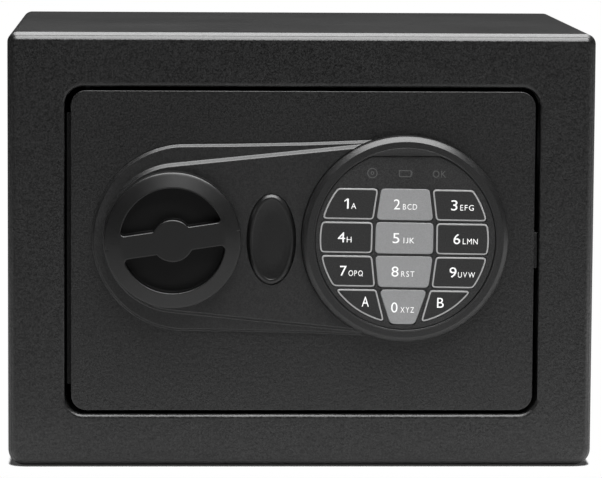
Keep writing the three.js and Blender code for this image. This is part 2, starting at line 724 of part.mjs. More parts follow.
function frontPanel() {
  const base = loft([
    { outline: grown(baseOutline(), -BASE_BEVEL), y: baseFrontY },
    { outline: baseOutline(), y: baseFrontY + BASE_BEVEL },
    { outline: baseOutline(), y: panelBackY },
  ]);
  const raised = loft([
    { outline: grown(raisedOutline(), -RAISED_BEVEL), y: raisedFrontY },
    { outline: raisedOutline(), y: raisedFrontY + RAISED_BEVEL },
    { outline: raisedOutline(), y: panelBackY },
  ]);
  const through = [knobFrontY, doorFrontY];
  const keyWell = prism(
    grown(coverOval, CLEAR).map((p) => new THREE.Vector2(p.x + LOCK_X, p.y + axisZ)),
    ...through,
  );
  return cut(
    join(base, raised),
    rodY(RING_R + CLEAR, ...through, KEYPAD_X, axisZ, ROUND.fine),
    rodY(KNOB_BUSH_FLANGE_R + CLEAR, ...through, KNOB_X, axisZ),
    keyWell,
  );
}

addPiece(door, "front_panel", frontPanel(), blackPlastic);

// Knob with its shaft, clip and crank
const knobGroup = groupAt(door, KNOB_X, 0, axisZ);

// One finger pocket above the bar: bar edge, boss arc, bar edge, outer arc, with rounded far corners.
function pocketOutline() {
  const edge = BAR_WIDTH / 2;
  const bossAngle = THREE.MathUtils.radToDeg(Math.asin(edge / BOSS_R));
  const filletZ = edge + POCKET_FILLET;
  const filletX = Math.sqrt((POCKET_R - POCKET_FILLET) ** 2 - filletZ ** 2);
  const filletAngle = THREE.MathUtils.radToDeg(Math.atan2(filletZ, filletX));
  return [
    ...arcPoints(0, 0, BOSS_R, 180 - bossAngle, bossAngle, 12),
    ...arcPoints(filletX, filletZ, POCKET_FILLET, -90, filletAngle, 5),
    ...arcPoints(0, 0, POCKET_R, filletAngle, 180 - filletAngle, 36).slice(1, -1),
    ...arcPoints(-filletX, filletZ, POCKET_FILLET, 180 - filletAngle, 270, 5),
  ];
}

function knobSolid() {
  const crown = arcPoints(0, 0, 1, 90, 0, CORNER_STEPS).map((p) => [
    CROWN_R + (KNOB_R - CROWN_R) * p.x,
    knobFrontY + CROWN_DROP * (1 - p.y),
  ]);
  const body = turned(
    [
      [0, knobFrontY],
      ...crown,
      [KNOB_R, knobBackY - KNOB_BACK_BEVEL],
      [KNOB_R - KNOB_BACK_BEVEL, knobBackY],
      [0, knobBackY],
    ],
    ROUND.fine,
  );
  const pocket = prism(pocketOutline(), knobFrontY - PAST, knobBackY - POCKET_FLOOR);
  const bore = rodY(SHAFT_R + CLEAR, knobBackY - SHAFT_IN_KNOB - CLEAR, knobBackY + PAST);
  return cut(body, pocket, pocket.rotate([0, 180, 0]), bore);
}

function knobShaft() {
  const round = rodY(SHAFT_R, knobBackY - SHAFT_IN_KNOB, shaftEndY);
  const flats = [-1, 1].map((side) => {
    const near = (side * SHAFT_FLAT) / 2;
    const far = side * (SHAFT_R + PAST);
    const [left, right] = [Math.min(near, far), Math.max(near, far)];
    return box(left, right, camFrontY, shaftEndY + PAST, -SHAFT_R, SHAFT_R);
  });
  return cut(round, ...flats);
}

function knobBush() {
  const flangeFront = panelBackY - KNOB_BUSH_FLANGE;
  const sleeve = rodY(BUSH_R, flangeFront, doorBackY);
  const flange = rodY(KNOB_BUSH_FLANGE_R, flangeFront, panelBackY);
  return cut(join(sleeve, flange), rodY(SHAFT_R + CLEAR, flangeFront - PAST, doorBackY + PAST));
}

function knobClip() {
  const ring = rodY(CLIP_R, fittingY, clipBackY);
  const through = [fittingY - PAST, clipBackY + PAST];
  const mouth = box(-CLIP_MOUTH / 2, CLIP_MOUTH / 2, ...through, 0, CLIP_R + PAST);
  return cut(ring, rodY(SHAFT_R + CLEAR, ...through), mouth);
}

// Crank straight down from its hub; the mesh is turned to its rest angle.
function crank() {
  const hub = rodY(CAM_HUB_R, camFrontY, camBackY);
  const eye = rodY(CRANK_PIN_R + CRANK_EYE_WALL, camFrontY, camBackY, 0, -CRANK_R);
  const pinEnd = boltPlateBackY + CRANK_PIN_PROUD;
  const pin = rodY(CRANK_PIN_R, camBackY - PAST, pinEnd, 0, -CRANK_R, ROUND.small);
  const half = SHAFT_FLAT / 2 + CLEAR;
  const through = [camFrontY - PAST, camBackY + PAST];
  const slot = box(-half, half, ...through, -SHAFT_R - PAST, SHAFT_R + PAST);
  const bore = rodY(SHAFT_R + CLEAR, ...through).intersect(slot);
  return cut(join(hub, eye, pin), bore);
}

const knobMesh = addPiece(knobGroup, "knob", knobSolid(), blackPlastic);
knobMesh.rotation.y = THREE.MathUtils.degToRad(-KNOB_TILT);
const crankAngle = THREE.MathUtils.degToRad(CRANK_REST);
const shaftMesh = addPiece(knobGroup, "knob_shaft", knobShaft(), brightSteel);
shaftMesh.rotation.y = crankAngle;
addPiece(knobGroup, "knob_bush", knobBush(), brass);
addPiece(knobGroup, "knob_clip", knobClip(), brightSteel);
const crankMesh = addPiece(knobGroup, "crank", crank(), zincSteel);
crankMesh.rotation.y = crankAngle;

// Keypad: ring, mask, twelve keys and the board behind them
const keypad = groupAt(door, KEYPAD_X, 0, axisZ);

// A disc's outline with its top cut off flat.
function chordedDisc(radius, chordZ) {
  const side = THREE.MathUtils.radToDeg(Math.asin(chordZ / radius));
  return arcPoints(0, 0, radius, 180 - side, 360 + side, ROUND.fine - 12);
}

function keypadRing() {
  const ring = turned(
    [
      [0, panelBackY],
      [RING_R, panelBackY],
      [RING_R, ringFrontY + RING_BEVEL_DOWN],
      [RING_R - RING_BEVEL_IN, ringFrontY],
      [RING_LAND_R, ringFrontY],
      [RING_LAND_R - RING_LAND_DOWN, ringLandY],
      [0, ringLandY],
    ],
    ROUND.fine,
  );
  const maskRoom = prism(
    chordedDisc(MASK_R + CLEAR, MASK_CHORD_Z + CLEAR), ringFrontY - PAST, maskBackY + CLEAR,
  );
  const boardRoom = prism(
    chordedDisc(seatR, MASK_CHORD_Z + CLEAR - MASK_SEAT), ringFrontY - PAST, ringFloorY,
  );
  const cableX = CABLE_X - KEYPAD_X;
  const through = [ringFloorY - PAST, panelBackY + PAST];
  const cableHole = rodY(CABLE_HOLE_R, ...through, cableX, CABLE_RISE, ROUND.small);
  return cut(ring, maskRoom, boardRoom, cableHole);
}

function rowEdges(row) {
  const top = ROW_TOP - row * ROW_PITCH;
  const last = row === MIDDLE_HALF_WIDTHS.length - 1;
  return { top, bottom: top - (last ? LAST_KEY_HEIGHT : KEY_HEIGHT), last };
}

// Outline of one key in the key field: column -1, 0 or 1.
function keyOutline(row, column) {
  const { top, bottom, last } = rowEdges(row);
  const [halfTop, halfBottom] = MIDDLE_HALF_WIDTHS[row];
  if (column === 0) {
    const corners = [[halfTop, top], [-halfTop, top], [-halfBottom, bottom], [halfBottom, bottom]];
    return cornersRounded(corners.map(([x, z]) => new THREE.Vector2(x, z)), KEY_CORNER_R);
  }
  const innerTop = halfTop + COLUMN_GAP;
  const innerBottom = halfBottom + (last ? LAST_COLUMN_GAP : COLUMN_GAP);
  const lowest = last ? -Math.sqrt(FIELD_R ** 2 - innerBottom ** 2) : bottom;
  const angleOf = (z) => THREE.MathUtils.radToDeg(Math.asin(z / FIELD_R));
  const outer = arcPoints(0, 0, FIELD_R, angleOf(lowest), angleOf(top), last ? 10 : 5);
  const points = [new THREE.Vector2(innerTop, top)];
  if (!last) points.push(new THREE.Vector2(innerBottom, bottom));
  const right = cornersRounded([...points, ...outer], KEY_CORNER_R);
  return column === 1 ? right : right.map((p) => new THREE.Vector2(-p.x, p.y)).reverse();
}

function keySolid(outline) {
  const face = prism(outline, maskFrontY - KEY_PROUD, keyBackY);
  const flange = prism(grown(outline, KEY_FLANGE), maskBackY + CLEAR, keyBackY);
  return join(face, flange);
}

const keyNames = [["key_1", "key_2", "key_3"], ["key_4", "key_5", "key_6"],
  ["key_7", "key_8", "key_9"], ["key_a", "key_0", "key_b"]];
const keyCells = keyNames.flatMap((names, row) =>
  names.map((name, column) => ({ name, middle: column === 1, outline: keyOutline(row, column - 1) })),
);

const keyField = groupAt(keypad, FIELD_X, 0, 0);
keyField.rotation.y = THREE.MathUtils.degToRad(-FIELD_TILT);
for (const { name, middle, outline } of keyCells) {
  addPiece(keyField, name, keySolid(outline), middle ? keyGrey : keyBlack);
}

function keypadMask() {
  const disc = prism(chordedDisc(MASK_R, MASK_CHORD_Z), maskFrontY, maskBackY);
  const windows = keyCells.map(({ outline }) =>
    prism(grown(outline, KEY_GAP), maskFrontY - PAST, maskBackY + PAST)
      .rotate([0, -FIELD_TILT, 0])
      .translate([FIELD_X, 0, 0]),
  );
  return cut(disc, ...windows);
}

function keypadBoard() {
  const outline = chordedDisc(seatR - CLEAR, MASK_CHORD_Z - MASK_SEAT);
  return prism(outline, boardFrontY, boardBackY);
}

addPiece(keypad, "keypad_ring", keypadRing(), blackPlastic);
addPiece(keypad, "keypad_mask", keypadMask(), overlayBlack);
addPiece(keypad, "keypad_board", keypadBoard(), boardGreen);

// Override lock and the oval cover over it
const lock = groupAt(door, LOCK_X, 0, lockZ);
const lockFaceY = panelBackY - LOCK_FLANGE;
const plugEndY = lockBodyEndY + CLEAR + LOCK_CAM_THICK + CLEAR;

function lockCylinder() {
  const body = rodY(LOCK_BODY_R, lockFaceY, lockBodyEndY);
  const flange = rodY(LOCK_FLANGE_R, lockFaceY, panelBackY);
  return cut(join(body, flange), rodY(PLUG_R + CLEAR, lockFaceY - PAST, lockBodyEndY + PAST));
}

function lockNut() {
  const nut = rodY(LOCK_NUT_R, fittingY, fittingY + LOCK_NUT_THICK, 0, 0, 6);
  return cut(nut, rodY(LOCK_BODY_R + CLEAR, fittingY - PAST, fittingY + LOCK_NUT_THICK + PAST));
}

function lockPlug() {
  const barrel = rodY(PLUG_R, lockFaceY, lockBodyEndY);
  const stub = rodY(PLUG_STUB_R, lockBodyEndY - PAST, plugEndY, 0, 0, ROUND.small);
  const keyway = box(
    -KEYWAY_WIDTH / 2, KEYWAY_WIDTH / 2, lockFaceY - PAST, lockFaceY + KEYWAY_DEPTH,
    -KEYWAY_HEIGHT / 2, KEYWAY_HEIGHT / 2,
  );
  return cut(join(barrel, stub), keyway);
}

function lockCam() {
  const front = lockBodyEndY + CLEAR;
  const back = front + LOCK_CAM_THICK;
  const half = LOCK_CAM_WIDTH / 2;
  const hub = rodY(PLUG_STUB_R + LOCK_CAM_HUB_WALL, front, back);
  const arm = box(-half, half, front, back, half - LOCK_CAM_REACH, 0);
  const tip = rodY(half, front, back, 0, half - LOCK_CAM_REACH);
  const bore = rodY(PLUG_STUB_R + CLEAR, front - PAST, back + PAST, 0, 0, ROUND.small);
  return cut(join(hub, arm, tip), bore);
}

addPiece(lock, "lock_cylinder", lockCylinder(), zincSteel);
addPiece(lock, "lock_nut", lockNut(), zincSteel);
addPiece(lock, "lock_plug", lockPlug(), brass);
addPiece(lock, "lock_cam", lockCam(), zincSteel);

function keyCover() {
  const front = raisedFrontY - COVER_PROUD;
  const back = front + COVER_THICK;
  const shell = loft([
    { outline: grown(coverOval, -COVER_BEVEL), y: front },
    { outline: grown(coverOval, -COVER_BEVEL * 0.4), y: front + COVER_PROUD * 0.45 },
    { outline: coverOval, y: front + COVER_PROUD },
    { outline: coverOval, y: back },
  ]);
  const dish = loft([
    { outline: grown(coverOval, 2 * COVER_DISH - COVER_RIM), y: front - COVER_DISH },
    { outline: grown(coverOval, -COVER_RIM), y: front + COVER_DISH },
  ]);
  const legs = [-1, 1].map((side) =>
    box(
      -COVER_LEG_WIDTH / 2, COVER_LEG_WIDTH / 2, back - PAST, panelBackY - CLEAR,
      side * COVER_LEG_Z - COVER_LEG_THICK / 2, side * COVER_LEG_Z + COVER_LEG_THICK / 2,
    ),
  );
  return join(cut(shell, dish), ...legs);
}

const coverGroup = groupAt(door, LOCK_X, 0, axisZ);
addPiece(coverGroup, "key_cover", keyCover(), blackPlastic);

// Bolt work on the rear of the door
const boltZs = [boltZ + BOLT_SPREAD / 2, boltZ - BOLT_SPREAD / 2];
const crankPinX = KNOB_X - CRANK_R * Math.sin(crankAngle);
const crankPinTop = axisZ - CRANK_R * Math.cos(crankAngle);
const crankPinBottom = axisZ - CRANK_R;
const blockPinX = PLUNGER_X - PLUNGER_R - BLOCK_GAP - BLOCK_PIN_R;
const blockPinZ = armTop - BLOCK_PIN_DROP;

// A slot with square ends, cut right through the bolt plate.
function plateSlot(left, right, bottom, top) {
  return box(left, right, boltPlateY - PAST, boltPlateBackY + PAST, bottom, top);
}

function boltPlate() {
  const lugBottom = Math.min(...boltZs) - BOLT_R - LUG_MARGIN;
  const lugTop = Math.max(...boltZs) + BOLT_R + LUG_MARGIN;
  const slotMargin = CRANK_PIN_R + RUN;
  const armLeft = crankPinX - ARM_HEAD_LEFT;
  const headTop = crankPinTop + slotMargin + HEAD_MARGIN;
  const level = [boltPlateY, boltPlateBackY];
  const head = box(armLeft, crankPinX + ARM_HEAD_RIGHT, ...level, armBottom, headTop);
  const arm = box(armLeft, lugRightX, ...level, armBottom, armTop);
  const cross = box(lugRightX - CROSS_WIDTH, lugRightX, ...level, lugBottom, lugTop);
  const lug = box(lugLeftX, lugRightX, boltPlateY, boltY + BOLT_R, lugBottom, lugTop);
  const pinSlot = plateSlot(
    crankPinX - slotMargin, crankPinX + slotMargin,
    crankPinBottom - slotMargin, crankPinTop + slotMargin,
  );
  const studSlots = STUD_X.map((x) =>
    plateSlot(
      x - BOLT_TRAVEL - STUD_R - RUN, x + STUD_R + RUN, armZ - STUD_R - RUN, armZ + STUD_R + RUN,
    ),
  );
  const blockHole = rodY(
    BLOCK_PIN_R + CLEAR, boltPlateY - PAST, boltPlateBackY + PAST, blockPinX, blockPinZ, ROUND.small,
  );
  const spigotHoles = boltZs.map((z) =>
    rodX(SPIGOT_R + CLEAR, lugLeftX - PAST, lugRightX + PAST, boltY, z, ROUND.small),
  );
  return cut(join(head, arm, cross, lug), pinSlot, ...studSlots, blockHole, ...spigotHoles);
}

// Pin through the bolt plate, beside which the plunger drops.
function blockingPin() {
  return rodY(BLOCK_PIN_R, boltPlateY, boltPlateBackY + BLOCK_PIN_REACH, 0, 0, ROUND.small);
}

// Bolt with a rounded tip, a spigot through the plate's lug and a riveted head.
function bolt() {
  const shank = rodX(BOLT_R, boltTailX, boltTipX - BOLT_BEVEL);
  const nose = new THREE.CylinderGeometry(BOLT_R - BOLT_BEVEL, BOLT_R, BOLT_BEVEL, ROUND.plain);
  nose.rotateZ(-Math.PI / 2);
  nose.translate(boltTipX - BOLT_BEVEL / 2, 0, 0);
  const spigot = rodX(SPIGOT_R, boltHeadX, boltTailX + PAST, 0, 0, ROUND.small);
  const head = rodX(SPIGOT_HEAD_R, boltHeadX, boltHeadX + SPIGOT_HEAD, 0, 0, ROUND.small);
  return join(shank, solidFrom(nose), spigot, head);
}

function boltGuide() {
  const bottom = Math.min(...boltZs) - BOLT_R - GUIDE_MARGIN;
  const top = Math.max(...boltZs) + BOLT_R + GUIDE_MARGIN;
  const back = boltY + BOLT_R + GUIDE_BACK;
  const wall = box(guideX, guideX + GUIDE_THICK, fittingY, back, bottom, top);
  const foot = box(guideX - GUIDE_FOOT, guideX + PAST, fittingY, fittingY + GUIDE_THICK, bottom, top);
  const holes = boltZs.map((z) =>
    rodX(BOLT_R + RUN, guideX - PAST, guideX + GUIDE_THICK + PAST, boltY, z),
  );
  return cut(join(wall, foot), ...holes);
}

function guideStud() {
  const shoulder = rodY(STUD_HEAD_R, fittingY, boltPlateY - CLEAR, 0, 0, ROUND.small);
  const headFront = boltPlateBackY + CLEAR;
  const stem = rodY(STUD_R, boltPlateY - PAST, headFront + PAST, 0, 0, ROUND.small);
  const head = rodY(STUD_HEAD_R, headFront, headFront + STUD_HEAD, 0, 0, ROUND.small);
  return join(shoulder, stem, head);
}

addPiece(door, "bolt_plate", boltPlate(), zincSteel);
addPiece(door, "blocking_pin", blockingPin(), brightSteel).position.set(blockPinX, 0, blockPinZ);
["upper_bolt", "lower_bolt"].forEach((name, i) => {
  addPiece(door, name, bolt(), brightSteel).position.set(0, boltY, boltZs[i]);
});
addPiece(door, "bolt_guide", boltGuide(), zincSteel);
["left_guide_stud", "right_guide_stud"].forEach((name, i) => {
  addPiece(door, name, guideStud(), zincSteel).position.set(STUD_X[i], 0, armZ);
});

// Solenoid with its plunger and return spring; the plunger drops behind the bolt plate
const plungerY = boltPlateBackY + RUN + PLUNGER_R;
const plungerTipZ = blockPinZ + BLOCK_PIN_R + PLUNGER_LIFT;
const collarBottom = plungerTipZ + COLLAR_UP;
const springBottom = collarBottom + COLLAR_THICK + CLEAR;
const solenoidBottom = springBottom + SPRING_LENGTH + CLEAR;
const solenoid = groupAt(door, PLUNGER_X, plungerY, 0);

function solenoidBody() {
  const body = box(
    -SOLENOID_WIDTH / 2, SOLENOID_WIDTH / 2, fittingY - plungerY, SOLENOID_BACK,
    solenoidBottom, solenoidBottom + SOLENOID_HEIGHT,
  );
  const boreTop = plungerTipZ + PLUNGER_LENGTH + PAST;
  return cut(body, rodZ(PLUNGER_R + RUN, solenoidBottom - PAST, boreTop));
}

function plunger() {
  const rod = rodZ(PLUNGER_R, plungerTipZ, plungerTipZ + PLUNGER_LENGTH);
  const collar = rodZ(COLLAR_R, collarBottom, collarBottom + COLLAR_THICK);
  return join(rod, collar);
}

// One unbroken tube, wound along Z; its ends are closed by fans.
function coilSpring() {
  const sides = 5;
  const stepsPerTurn = 12;
  const steps = SPRING_TURNS * stepsPerTurn;
  const climb = SPRING_LENGTH - SPRING_WIRE;
  const wireR = SPRING_WIRE / 2;
  const positions = [];
  for (let i = 0; i <= steps; i++) {
    const turn = (2 * Math.PI * i) / stepsPerTurn;
    for (let j = 0; j < sides; j++) {
      const around = (2 * Math.PI * j) / sides;
      const radius = SPRING_R + wireR * Math.cos(around);
      const z = springBottom + wireR + (climb * i) / steps + wireR * Math.sin(around);
      positions.push(radius * Math.cos(turn), radius * Math.sin(turn), z);
    }
  }
  const index = [];
  for (let i = 0; i < steps; i++) {
    for (let j = 0; j < sides; j++) {
      const a = i * sides + j;
      const b = i * sides + ((j + 1) % sides);
      index.push(a, b, b + sides, a, b + sides, a + sides);
    }
  }
  const last = steps * sides;
  for (let j = 1; j < sides - 1; j++) {
    index.push(0, j + 1, j);
    index.push(last, last + j, last + j + 1);
  }
  const geometry = new THREE.BufferGeometry();
  geometry.setAttribute("position", new THREE.Float32BufferAttribute(positions, 3));
  geometry.setIndex(index);
  return solidFrom(geometry);
}

addPiece(solenoid, "solenoid_body", solenoidBody(), coilYellow);
addPiece(solenoid, "solenoid_plunger", plunger(), brightSteel);
addPiece(solenoid, "plunger_spring", coilSpring(), brightSteel);

// Inner cover, battery tray, batteries, control board, reset button and screws
const trayInnerHeight = 4 * BATTERY_R + 3 * CLEAR;
const trayBottom = innerBottom + COVER_WALL + TRAY_FOOT;
const trayTop = trayBottom + trayInnerHeight + 2 * TRAY_WALL;
const trayBackY = innerFaceY - CLEAR;
const trayFrontY = trayBackY - 2 * BATTERY_R - CLEAR - TRAY_WALL;
const controlBackY = innerFaceY - CONTROL_STANDOFF;
const controlRight = CONTROL_LEFT_X + CONTROL_WIDTH;
const controlTop = innerTop - CONTROL_FROM_TOP;
const controlBottom = controlTop - CONTROL_HEIGHT;
const resetZ = controlTop - RESET_DOWN;
const resetFrontY = controlBackY + RESET_TRAVEL + CLEAR;
const hatch = {
  left: trayLeft + HATCH_RIM,
  right: trayRight - HATCH_RIM,
  bottom: trayBottom + HATCH_RIM,
  top: trayTop - HATCH_RIM,
};

function innerCover() {
  const outline = roundedBox(innerLeft, innerRight, innerBottom, innerTop, INNER_CORNER_R);
  const rim = roundEdge(COVER_WALL, 3).reverse();
  const outer = loft([
    { outline, y: innerFrontY },
    ...rim.map(({ inset, depth }) => ({ outline: grown(outline, -inset), y: innerBackY - depth })),
  ]);
  const hollow = prism(grown(outline, -COVER_WALL), innerFrontY - PAST, innerFaceY);
  const postSolids = posts.map(([x, z]) => rodY(POST_R, innerFrontY, innerFaceY + PAST, x, z));
  const screwRooms = posts.flatMap(([x, z]) => [
    rodY(SCREW_R + CLEAR, innerFrontY - PAST, innerBackY + PAST, x, z, ROUND.small),
    rodY(SCREW_HEAD_R + CLEAR, innerBackY - SCREW_HEAD - SCREW_SINK, innerBackY + PAST, x, z, ROUND.small),
  ]);
  const standoffs = [CONTROL_LEFT_X + STANDOFF_INSET, controlRight - STANDOFF_INSET].flatMap((x) =>
    [controlBottom + STANDOFF_INSET, controlTop - STANDOFF_INSET].map((z) =>
      rodY(STANDOFF_R, controlBackY + CLEAR, innerFaceY + PAST, x, z, ROUND.small),
    ),
  );
  const boltHoles = boltZs.map((z) =>
    rodX(BOLT_R + RUN + CLEAR, innerRight - 2 * COVER_WALL, innerRight + PAST, boltY, z),
  );
  const hatchHole = prism(
    roundedBox(hatch.left, hatch.right, hatch.bottom, hatch.top, HATCH_CORNER_R),
    innerFaceY - PAST, innerBackY + PAST,
  );
  const resetHole = rodY(
    RESET_R + CLEAR, innerFaceY - PAST, innerBackY + PAST, RESET_X, resetZ, ROUND.small,
  );
  return cut(
    join(cut(outer, hollow), ...postSolids, ...standoffs),
    ...screwRooms, ...boltHoles, hatchHole, resetHole,
  );
}

function batteryTray() {
  const outer = box(trayLeft, trayRight, trayFrontY, trayBackY, trayBottom, trayTop);
  const room = box(
    trayLeft + TRAY_WALL, trayRight - TRAY_WALL, trayFrontY + TRAY_WALL, trayBackY + PAST,
    trayBottom + TRAY_WALL, trayTop - TRAY_WALL,
  );
  return cut(outer, room);
}

// Battery along X with its positive end to the right, about its own middle.
function battery() {
  const half = BATTERY_LENGTH / 2;
  const can = rodX(BATTERY_R, -half, half - BATTERY_NIPPLE);
  return join(can, rodX(BATTERY_NIPPLE_R, half - BATTERY_NIPPLE - PAST, half, 0, 0, ROUND.small));
}

// Plate that fills the hatch, with a finger grip cut into its rear face.
function batteryCover() {
  const back = innerBackY;
  const plate = prism(
    roundedBox(
      hatch.left + CLEAR, hatch.right - CLEAR, hatch.bottom + CLEAR, hatch.top - CLEAR,
      HATCH_CORNER_R - CLEAR,
    ),
    innerFaceY, back,
  );
  const middle = (hatch.left + hatch.right) / 2;
  const gripTop = hatch.top - GRIP_DOWN;
  const grips = [0, 1, 2].map((i) =>
    box(
      middle - GRIP_WIDTH / 2, middle + GRIP_WIDTH / 2, back - GRIP_DEPTH, back + PAST,
      gripTop - GRIP_PITCH * i - GRIP_HEIGHT, gripTop - GRIP_PITCH * i,
    ),
  );
  return cut(plate, ...grips);
}

function controlBoard() {
  const board = box(
    CONTROL_LEFT_X, controlRight, controlBackY - BOARD_THICK, controlBackY,
    controlBottom, controlTop,
  );
  const front = controlBackY - BOARD_THICK;
  const parts = [CHIP, RELAY].map(({ x, z, width, height, thick }) => {
    const middleX = CONTROL_LEFT_X + x;
    const middleZ = controlBottom + z;
    return box(
      middleX - width / 2, middleX + width / 2, front - thick, front + BOARD_THICK / 2,
      middleZ - height / 2, middleZ + height / 2,
    );
  });
  return join(board, ...parts);
}

function resetButton() {
  const stem = rodY(RESET_R, resetFrontY, innerBackY + RESET_PROUD, 0, 0, ROUND.small);
  const collarBack = resetFrontY + RESET_COLLAR;
  const collar = rodY(RESET_R + RESET_COLLAR_WIDTH, resetFrontY, collarBack, 0, 0, ROUND.small);
  return join(stem, collar);
}

function coverScrew() {
  const headTop = innerBackY - SCREW_SINK;
  const headBottom = headTop - SCREW_HEAD + CLEAR;
  const shank = rodY(SCREW_R, doorBackY - SCREW_IN_DOOR, headTop - PAST, 0, 0, ROUND.small);
  const head = rodY(SCREW_HEAD_R, headBottom, headTop, 0, 0, ROUND.small);
  const { half, reach, depth } = SCREW_SLOT;
  const slotted = (width, height) =>
    box(-width, width, headTop - depth, headTop + PAST, -height, height);
  return cut(join(shank, head), slotted(reach, half), slotted(half, reach));
}

function keypadCable() {
  return box(
    CABLE_X - CABLE_WIDTH / 2, CABLE_X + CABLE_WIDTH / 2,
    boardBackY + CLEAR, controlBackY - BOARD_THICK - CLEAR,
    cableZ - CABLE_THICK / 2, cableZ + CABLE_THICK / 2,
  );
}

addPiece(door, "inner_cover", innerCover(), blackPlastic);
addPiece(door, "battery_tray", batteryTray(), blackPlastic);
const batteryXs = [0, 1].map(
  (i) => trayLeft + TRAY_WALL + CLEAR + BATTERY_LENGTH / 2 + i * (BATTERY_LENGTH + CLEAR),
);
const batteryZs = [0, 1].map(
  (i) => trayBottom + TRAY_WALL + CLEAR + BATTERY_R + i * (2 * BATTERY_R + CLEAR),
);
const batteryY = trayFrontY + TRAY_WALL + CLEAR + BATTERY_R;
batteryXs.forEach((x, i) => {
  batteryZs.forEach((z, j) => {
    const mesh = addPiece(door, "battery_" + (1 + 2 * i + j), battery(), batteryWrap);
    mesh.position.set(x, batteryY, z);
  });
});
addPiece(door, "battery_cover", batteryCover(), blackPlastic);
addPiece(door, "control_board", controlBoard(), boardGreen);
const resetMesh = addPiece(door, "reset_button", resetButton(), resetRed);
resetMesh.position.set(RESET_X, 0, resetZ);
posts.forEach(([x, z], i) => {
  addPiece(door, "cover_screw_" + (i + 1), coverScrew(), brightSteel).position.set(x, 0, z);
});
addPiece(door, "keypad_cable", keypadCable(), cableGrey);

export default safe;
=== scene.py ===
import json
import math

import bmesh
import bpy
import numpy as np
from mathutils import Matrix, Vector

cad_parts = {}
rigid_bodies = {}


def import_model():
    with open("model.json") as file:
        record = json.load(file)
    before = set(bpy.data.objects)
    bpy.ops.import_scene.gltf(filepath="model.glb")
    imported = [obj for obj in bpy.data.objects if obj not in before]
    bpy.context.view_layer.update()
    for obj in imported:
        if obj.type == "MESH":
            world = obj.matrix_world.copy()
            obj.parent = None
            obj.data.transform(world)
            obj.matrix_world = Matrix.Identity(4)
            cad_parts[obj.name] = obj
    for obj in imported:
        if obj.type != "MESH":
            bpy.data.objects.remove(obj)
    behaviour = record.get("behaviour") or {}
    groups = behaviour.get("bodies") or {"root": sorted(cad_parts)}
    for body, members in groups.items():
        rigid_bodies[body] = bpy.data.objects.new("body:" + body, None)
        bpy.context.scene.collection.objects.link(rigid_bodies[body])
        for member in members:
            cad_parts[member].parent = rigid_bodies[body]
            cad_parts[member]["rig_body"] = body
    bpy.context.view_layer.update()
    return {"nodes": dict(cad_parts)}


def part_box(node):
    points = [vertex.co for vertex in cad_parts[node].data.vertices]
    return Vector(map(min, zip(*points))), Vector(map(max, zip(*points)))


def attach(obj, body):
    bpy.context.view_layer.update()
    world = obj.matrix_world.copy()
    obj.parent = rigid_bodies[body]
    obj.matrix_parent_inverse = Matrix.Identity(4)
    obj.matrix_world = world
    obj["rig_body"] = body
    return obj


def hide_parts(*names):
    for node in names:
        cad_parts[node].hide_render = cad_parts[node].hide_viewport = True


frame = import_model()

MM = 0.001

# Camera, as fitted to the photograph's edges of the box
CAMERA_PLACE = (-54.387, -1511.096, 246.989)
CAMERA_PITCH = -0.10975
CAMERA_YAW = -0.03731
CAMERA_ROLL = -0.00608
CAMERA_LENS = 219.99
SENSOR_WIDTH = 36

# Folded steel
SHEET = 1.2
TOP_CORNER_R = 4
BOTTOM_CORNER_R = 6.4
EDGE_R = 3
CREASE = math.radians(33)  # how far a fold turns at once from the side of the sheet
LIP_R = 1.8  # of the doorway's rolled lip along the top and bottom
LIP_SIDE_SHARE = 0.4  # the lip is sharper down the sides
CUT_EDGE_R = 0.2
JAMB_DEPTH = 12
REAR_FLANGE = 10
WAY_CORNER_R = 7.4
DOOR_CORNER_R = 6
DOOR_EDGE_R = 0.3
HINGE_GAP = 2.5
LATCH_GAP = 1.9
EDGE_GAP = 1.4
PIVOT = (-83.2, -79.0)
BUSH_HOLE_R = 3.5
FLOOR_ANCHOR = {"x": 55, "y": 25, "r": 4.5}
MAT_EDGE_R = 0.5
MAT_CORNER_R = 3
MAT_HOLE_GAP = 1
DOOR_HOLES = {"knob_shaft": 6.3, "lock_plug": 6.8, "keypad_cable": 5}  # radius round each node
DOOR_BACK_BEVEL = 0.3

# Front moulding
BASE_CIRCLES = {"left": (-45.1, 36.65), "straight_end": 13, "right_r": 39.3}
RAISED_CIRCLES = {"left": (-48, 29.5), "right_r": 38.5}
BASE_STEP = 1.8
BASE_BEVEL = 1.1
RAISED_STEP = 1.5
RAISED_BEVEL = 1.5
KNOB_BUSH_HOLE_R = 8.3
RING_GAP = 0.3
WELL_GAP = 0.25  # round the oval cover
WELL_EDGE_R = 0.12
# Shares of a bevel outward and down
MOULDED_BEVEL = ((0, 0), (0.12, 0.05), (0.3, 0.25), (0.7, 0.75), (0.88, 0.95), (1, 1))

# Knob
KNOB_R = 26.5
KNOB_TILT = math.radians(8.5)
CROWN_R = 19
CROWN_SLOPE = math.tan(math.radians(17))
CROWN_EASE = 2  # over which the flat middle turns into the cone
RIM_ROUND = 0.5  # rounding between the knob's sloped face and its side
BAR_HALF = 4.6
BOSS_R = 8.25
POCKET_R = 20.4
POCKET_FILLET = 1.4
POCKET_FLOOR = 2.4
POCKET_EDGE_R = 0.55
FLOOR_FILLET = 0.12
POCKET_HEART = 13  # above the knob's middle, where the pocket floor's rings close
POCKET_PAINTED_SHADE = 3  # behind the knob's face, where the pocket's painted shade, a darker and duller black, starts
SHAFT_HOLE_R = 4.3
SHAFT_HOLE_DEPTH = 6.4
KNOB_BACK_BEVEL = 0.6

